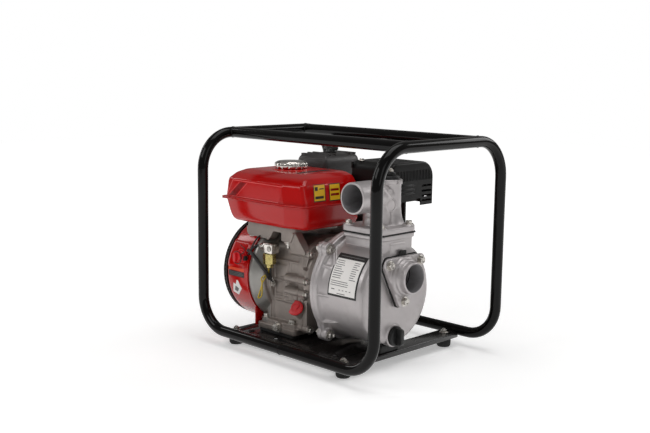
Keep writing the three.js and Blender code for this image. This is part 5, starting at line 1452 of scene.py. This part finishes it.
near_decal("tank_side_panel_film", [(-212, 299.2), (-56, 299.2), (-50, 330.5), (-196, 331.5)], M["lab_red"], 0.22)
near_decal("tank_side_stripe", [(-205, 300.6), (-187, 300.6), (-157, 328.5), (-173, 328.8)], M["lab_darkred"], 0.32, (8, 10))
near_decal("tank_side_line_top", [(-197.5, 330.9), (-50, 329.9), (-49.6, 331.0), (-197, 332.2)], M["lab_line"], 0.34, (30, 1))
near_decal("tank_side_line_left", [(-213.6, 299.0), (-212.2, 299.0), (-195.8, 332.0), (-197.4, 332.2)], M["lab_line"], 0.34, (1, 10))
near_decal("tank_side_line_slant_a", [(-208.6, 300.6), (-207.6, 300.6), (-175.6, 328.8), (-176.8, 328.9)], M["lab_line"], 0.34, (1, 10))
near_decal("tank_side_line_slant_b", [(-184.0, 300.6), (-182.6, 300.6), (-152.2, 328.3), (-153.8, 328.4)], M["lab_line"], 0.34, (1, 10))
near_decal("tank_side_line_low", [(-196, 299.0), (-60, 299.0), (-60, 299.9), (-196, 299.9)], M["lab_line"], 0.34, (20, 1))


def end_decal(name, y0, y1, z0, z1, mat, lift, grid=(6, 8)):
    def lean(z):
        return (z - 320) * 0.21
    at = bilinear((40, y0 + lean(z0), z0), (40, y1 + lean(z0), z0), (40, y1 + lean(z1), z1), (40, y0 + lean(z1), z1))
    return decal(name, TANK_TOP, at, lambda u, v: (-1, 0, 0), grid, mat, lift=lift, thick=0.3, slot=ts)


for k, (y0, y1, z0, z1) in enumerate(((-97, -65, 303.5, 336), (-54.5, -23.5, 302, 335))):
    end_decal("tank_square_border_%d" % k, y0, y1, z0, z1, M["lab_black"], 0.22)
    end_decal("tank_square_film_%d" % k, y0 + 1.8, y1 - 1.8, z0 + 1.8, z1 - 1.8, M["lab_yellow"], 0.34)
end_decal("tank_square_mark_0a", -93.5, -85.5, 324, 331.5, M["lab_black"], 0.42, (3, 3))
end_decal("tank_square_mark_0b", -81.5, -69, 326, 328, M["lab_black"], 0.42, (3, 2))
end_decal("tank_square_mark_0c", -93, -70, 309, 314, M["lab_black"], 0.42, (4, 3))
end_decal("tank_square_mark_1a", -50.5, -27.5, 321, 325.5, M["lab_darkred"], 0.42, (4, 3))
end_decal("tank_square_mark_1b", -50.5, -27.5, 312, 316.5, M["lab_darkred"], 0.42, (4, 3))
at = bilinear((-67, -82, 380), (-55, -82, 380), (-55, 9, 380), (-67, 9, 380))
decal("tank_top_strip", TANK_TOP, at, lambda u, v: (0, 0, -1), (3, 16), M["lab_black"], lift=0.25, thick=0.3, slot=ts)
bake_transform(rope)

# ================================================================== floor, light and camera
# the floor glows as painted light: emission brightens the far floor to white and lights the object from below
fm = Mat("studio_floor")
fm.set(Base_Color=fm.ramp(fm.noise(3, 2), [(0.3, (0.90, 0.90, 0.90, 1)), (0.7, (0.92, 0.92, 0.92, 1))]), Roughness=fm.range(fm.noise(5, 2), 0.78, 0.86), Specular_IOR_Level=0.1,
       Emission_Color=(1, 1, 1, 1))
near = fm.m.node_tree.nodes.new("ShaderNodeTexGradient")
near.gradient_type = "SPHERICAL"
far_map = fm.m.node_tree.nodes.new("ShaderNodeMapping")
far_map.inputs["Scale"].default_value = (0.36, 0.36, 0.36)
far_co = fm.m.node_tree.nodes.new("ShaderNodeTexCoord")
fm.m.node_tree.links.new(far_co.outputs["Object"], far_map.inputs["Vector"])
fm.m.node_tree.links.new(far_map.outputs["Vector"], near.inputs["Vector"])
# painted glow strength 0.80 far out, falling to 0.34 near the object
fm.set(Emission_Strength=fm.range(near.outputs["Fac"], 0.80, 0.34, 0.15, 0.80))
floor = bare("studio_floor", box(-5000, -5000, -6, 5000, 5000, 0), [fm.m])

scene = bpy.context.scene
w = bpy.data.worlds.new("studio")
scene.world = w
w.use_nodes = True
nt = w.node_tree
nt.nodes.clear()
out = nt.nodes.new("ShaderNodeOutputWorld")
mixn = nt.nodes.new("ShaderNodeMixShader")
lp = nt.nodes.new("ShaderNodeLightPath")
bg0, bg1 = nt.nodes.new("ShaderNodeBackground"), nt.nodes.new("ShaderNodeBackground")
bg0.inputs[0].default_value = (1.0, 0.985, 0.97, 1)
bg0.inputs[1].default_value = 0.22
bg1.inputs[0].default_value = (1, 1, 1, 1)
bg1.inputs[1].default_value = 1.0
nt.links.new(lp.outputs["Is Camera Ray"], mixn.inputs[0])
nt.links.new(bg0.outputs[0], mixn.inputs[1])
nt.links.new(bg1.outputs[0], mixn.inputs[2])
nt.links.new(mixn.outputs[0], out.inputs[0])


def area(name, loc, target, sx, sy, power, col=(1, 1, 1)):
    L = bpy.data.lights.new(name, "AREA")
    L.shape = "RECTANGLE"
    L.size, L.size_y = sx, sy
    L.energy = power
    L.color = col
    ob = bpy.data.objects.new(name, L)
    scene.collection.objects.link(ob)
    ob.location = loc
    ob.rotation_euler = (Vector(target) - Vector(loc)).to_track_quat("-Z", "Y").to_euler()
    return ob


area("key_soft", (-0.55, -2.1, 1.75), (0, 0, 0.2), 1.5, 1.0, 14.5)
area("top_soft", (0.2, 0.1, 2.3), (0, 0, 0.2), 1.6, 1.6, 19)
area("right_fill", (2.4, -0.5, 1.1), (0, 0, 0.2), 1.0, 1.4, 5)
area("rim_back", (0.9, 2.2, 1.5), (0, 0, 0.2), 1.4, 1.0, 15)
area("left_strip", (-2.2, -0.6, 1.0), (0, 0, 0.2), 0.35, 1.7, 9)

cam = bpy.data.cameras.new("camera")
cam.lens = 54.19
cam.sensor_width = 36
cam.clip_start = 0.05
cam.clip_end = 60
co = bpy.data.objects.new("camera", cam)
scene.collection.objects.link(co)
az, el, roll = math.radians(44.635), math.radians(8.806), math.radians(0.726)
back = Vector((math.sin(az) * math.cos(el), -math.cos(az) * math.cos(el), math.sin(el)))
right = (-back).cross(Vector((0, 0, 1))).normalized()
upv = right.cross(-back)
cr = right * math.cos(roll) + upv * math.sin(roll)
cu = -right * math.sin(roll) + upv * math.cos(roll)
co.matrix_world = axes(cr, cu, back, (1.31763, -1.40041, 0.56316))
scene.camera = co
scene.view_settings.view_transform = "Standard"
scene.view_settings.look = "None"

bpy.context.view_layer.update()
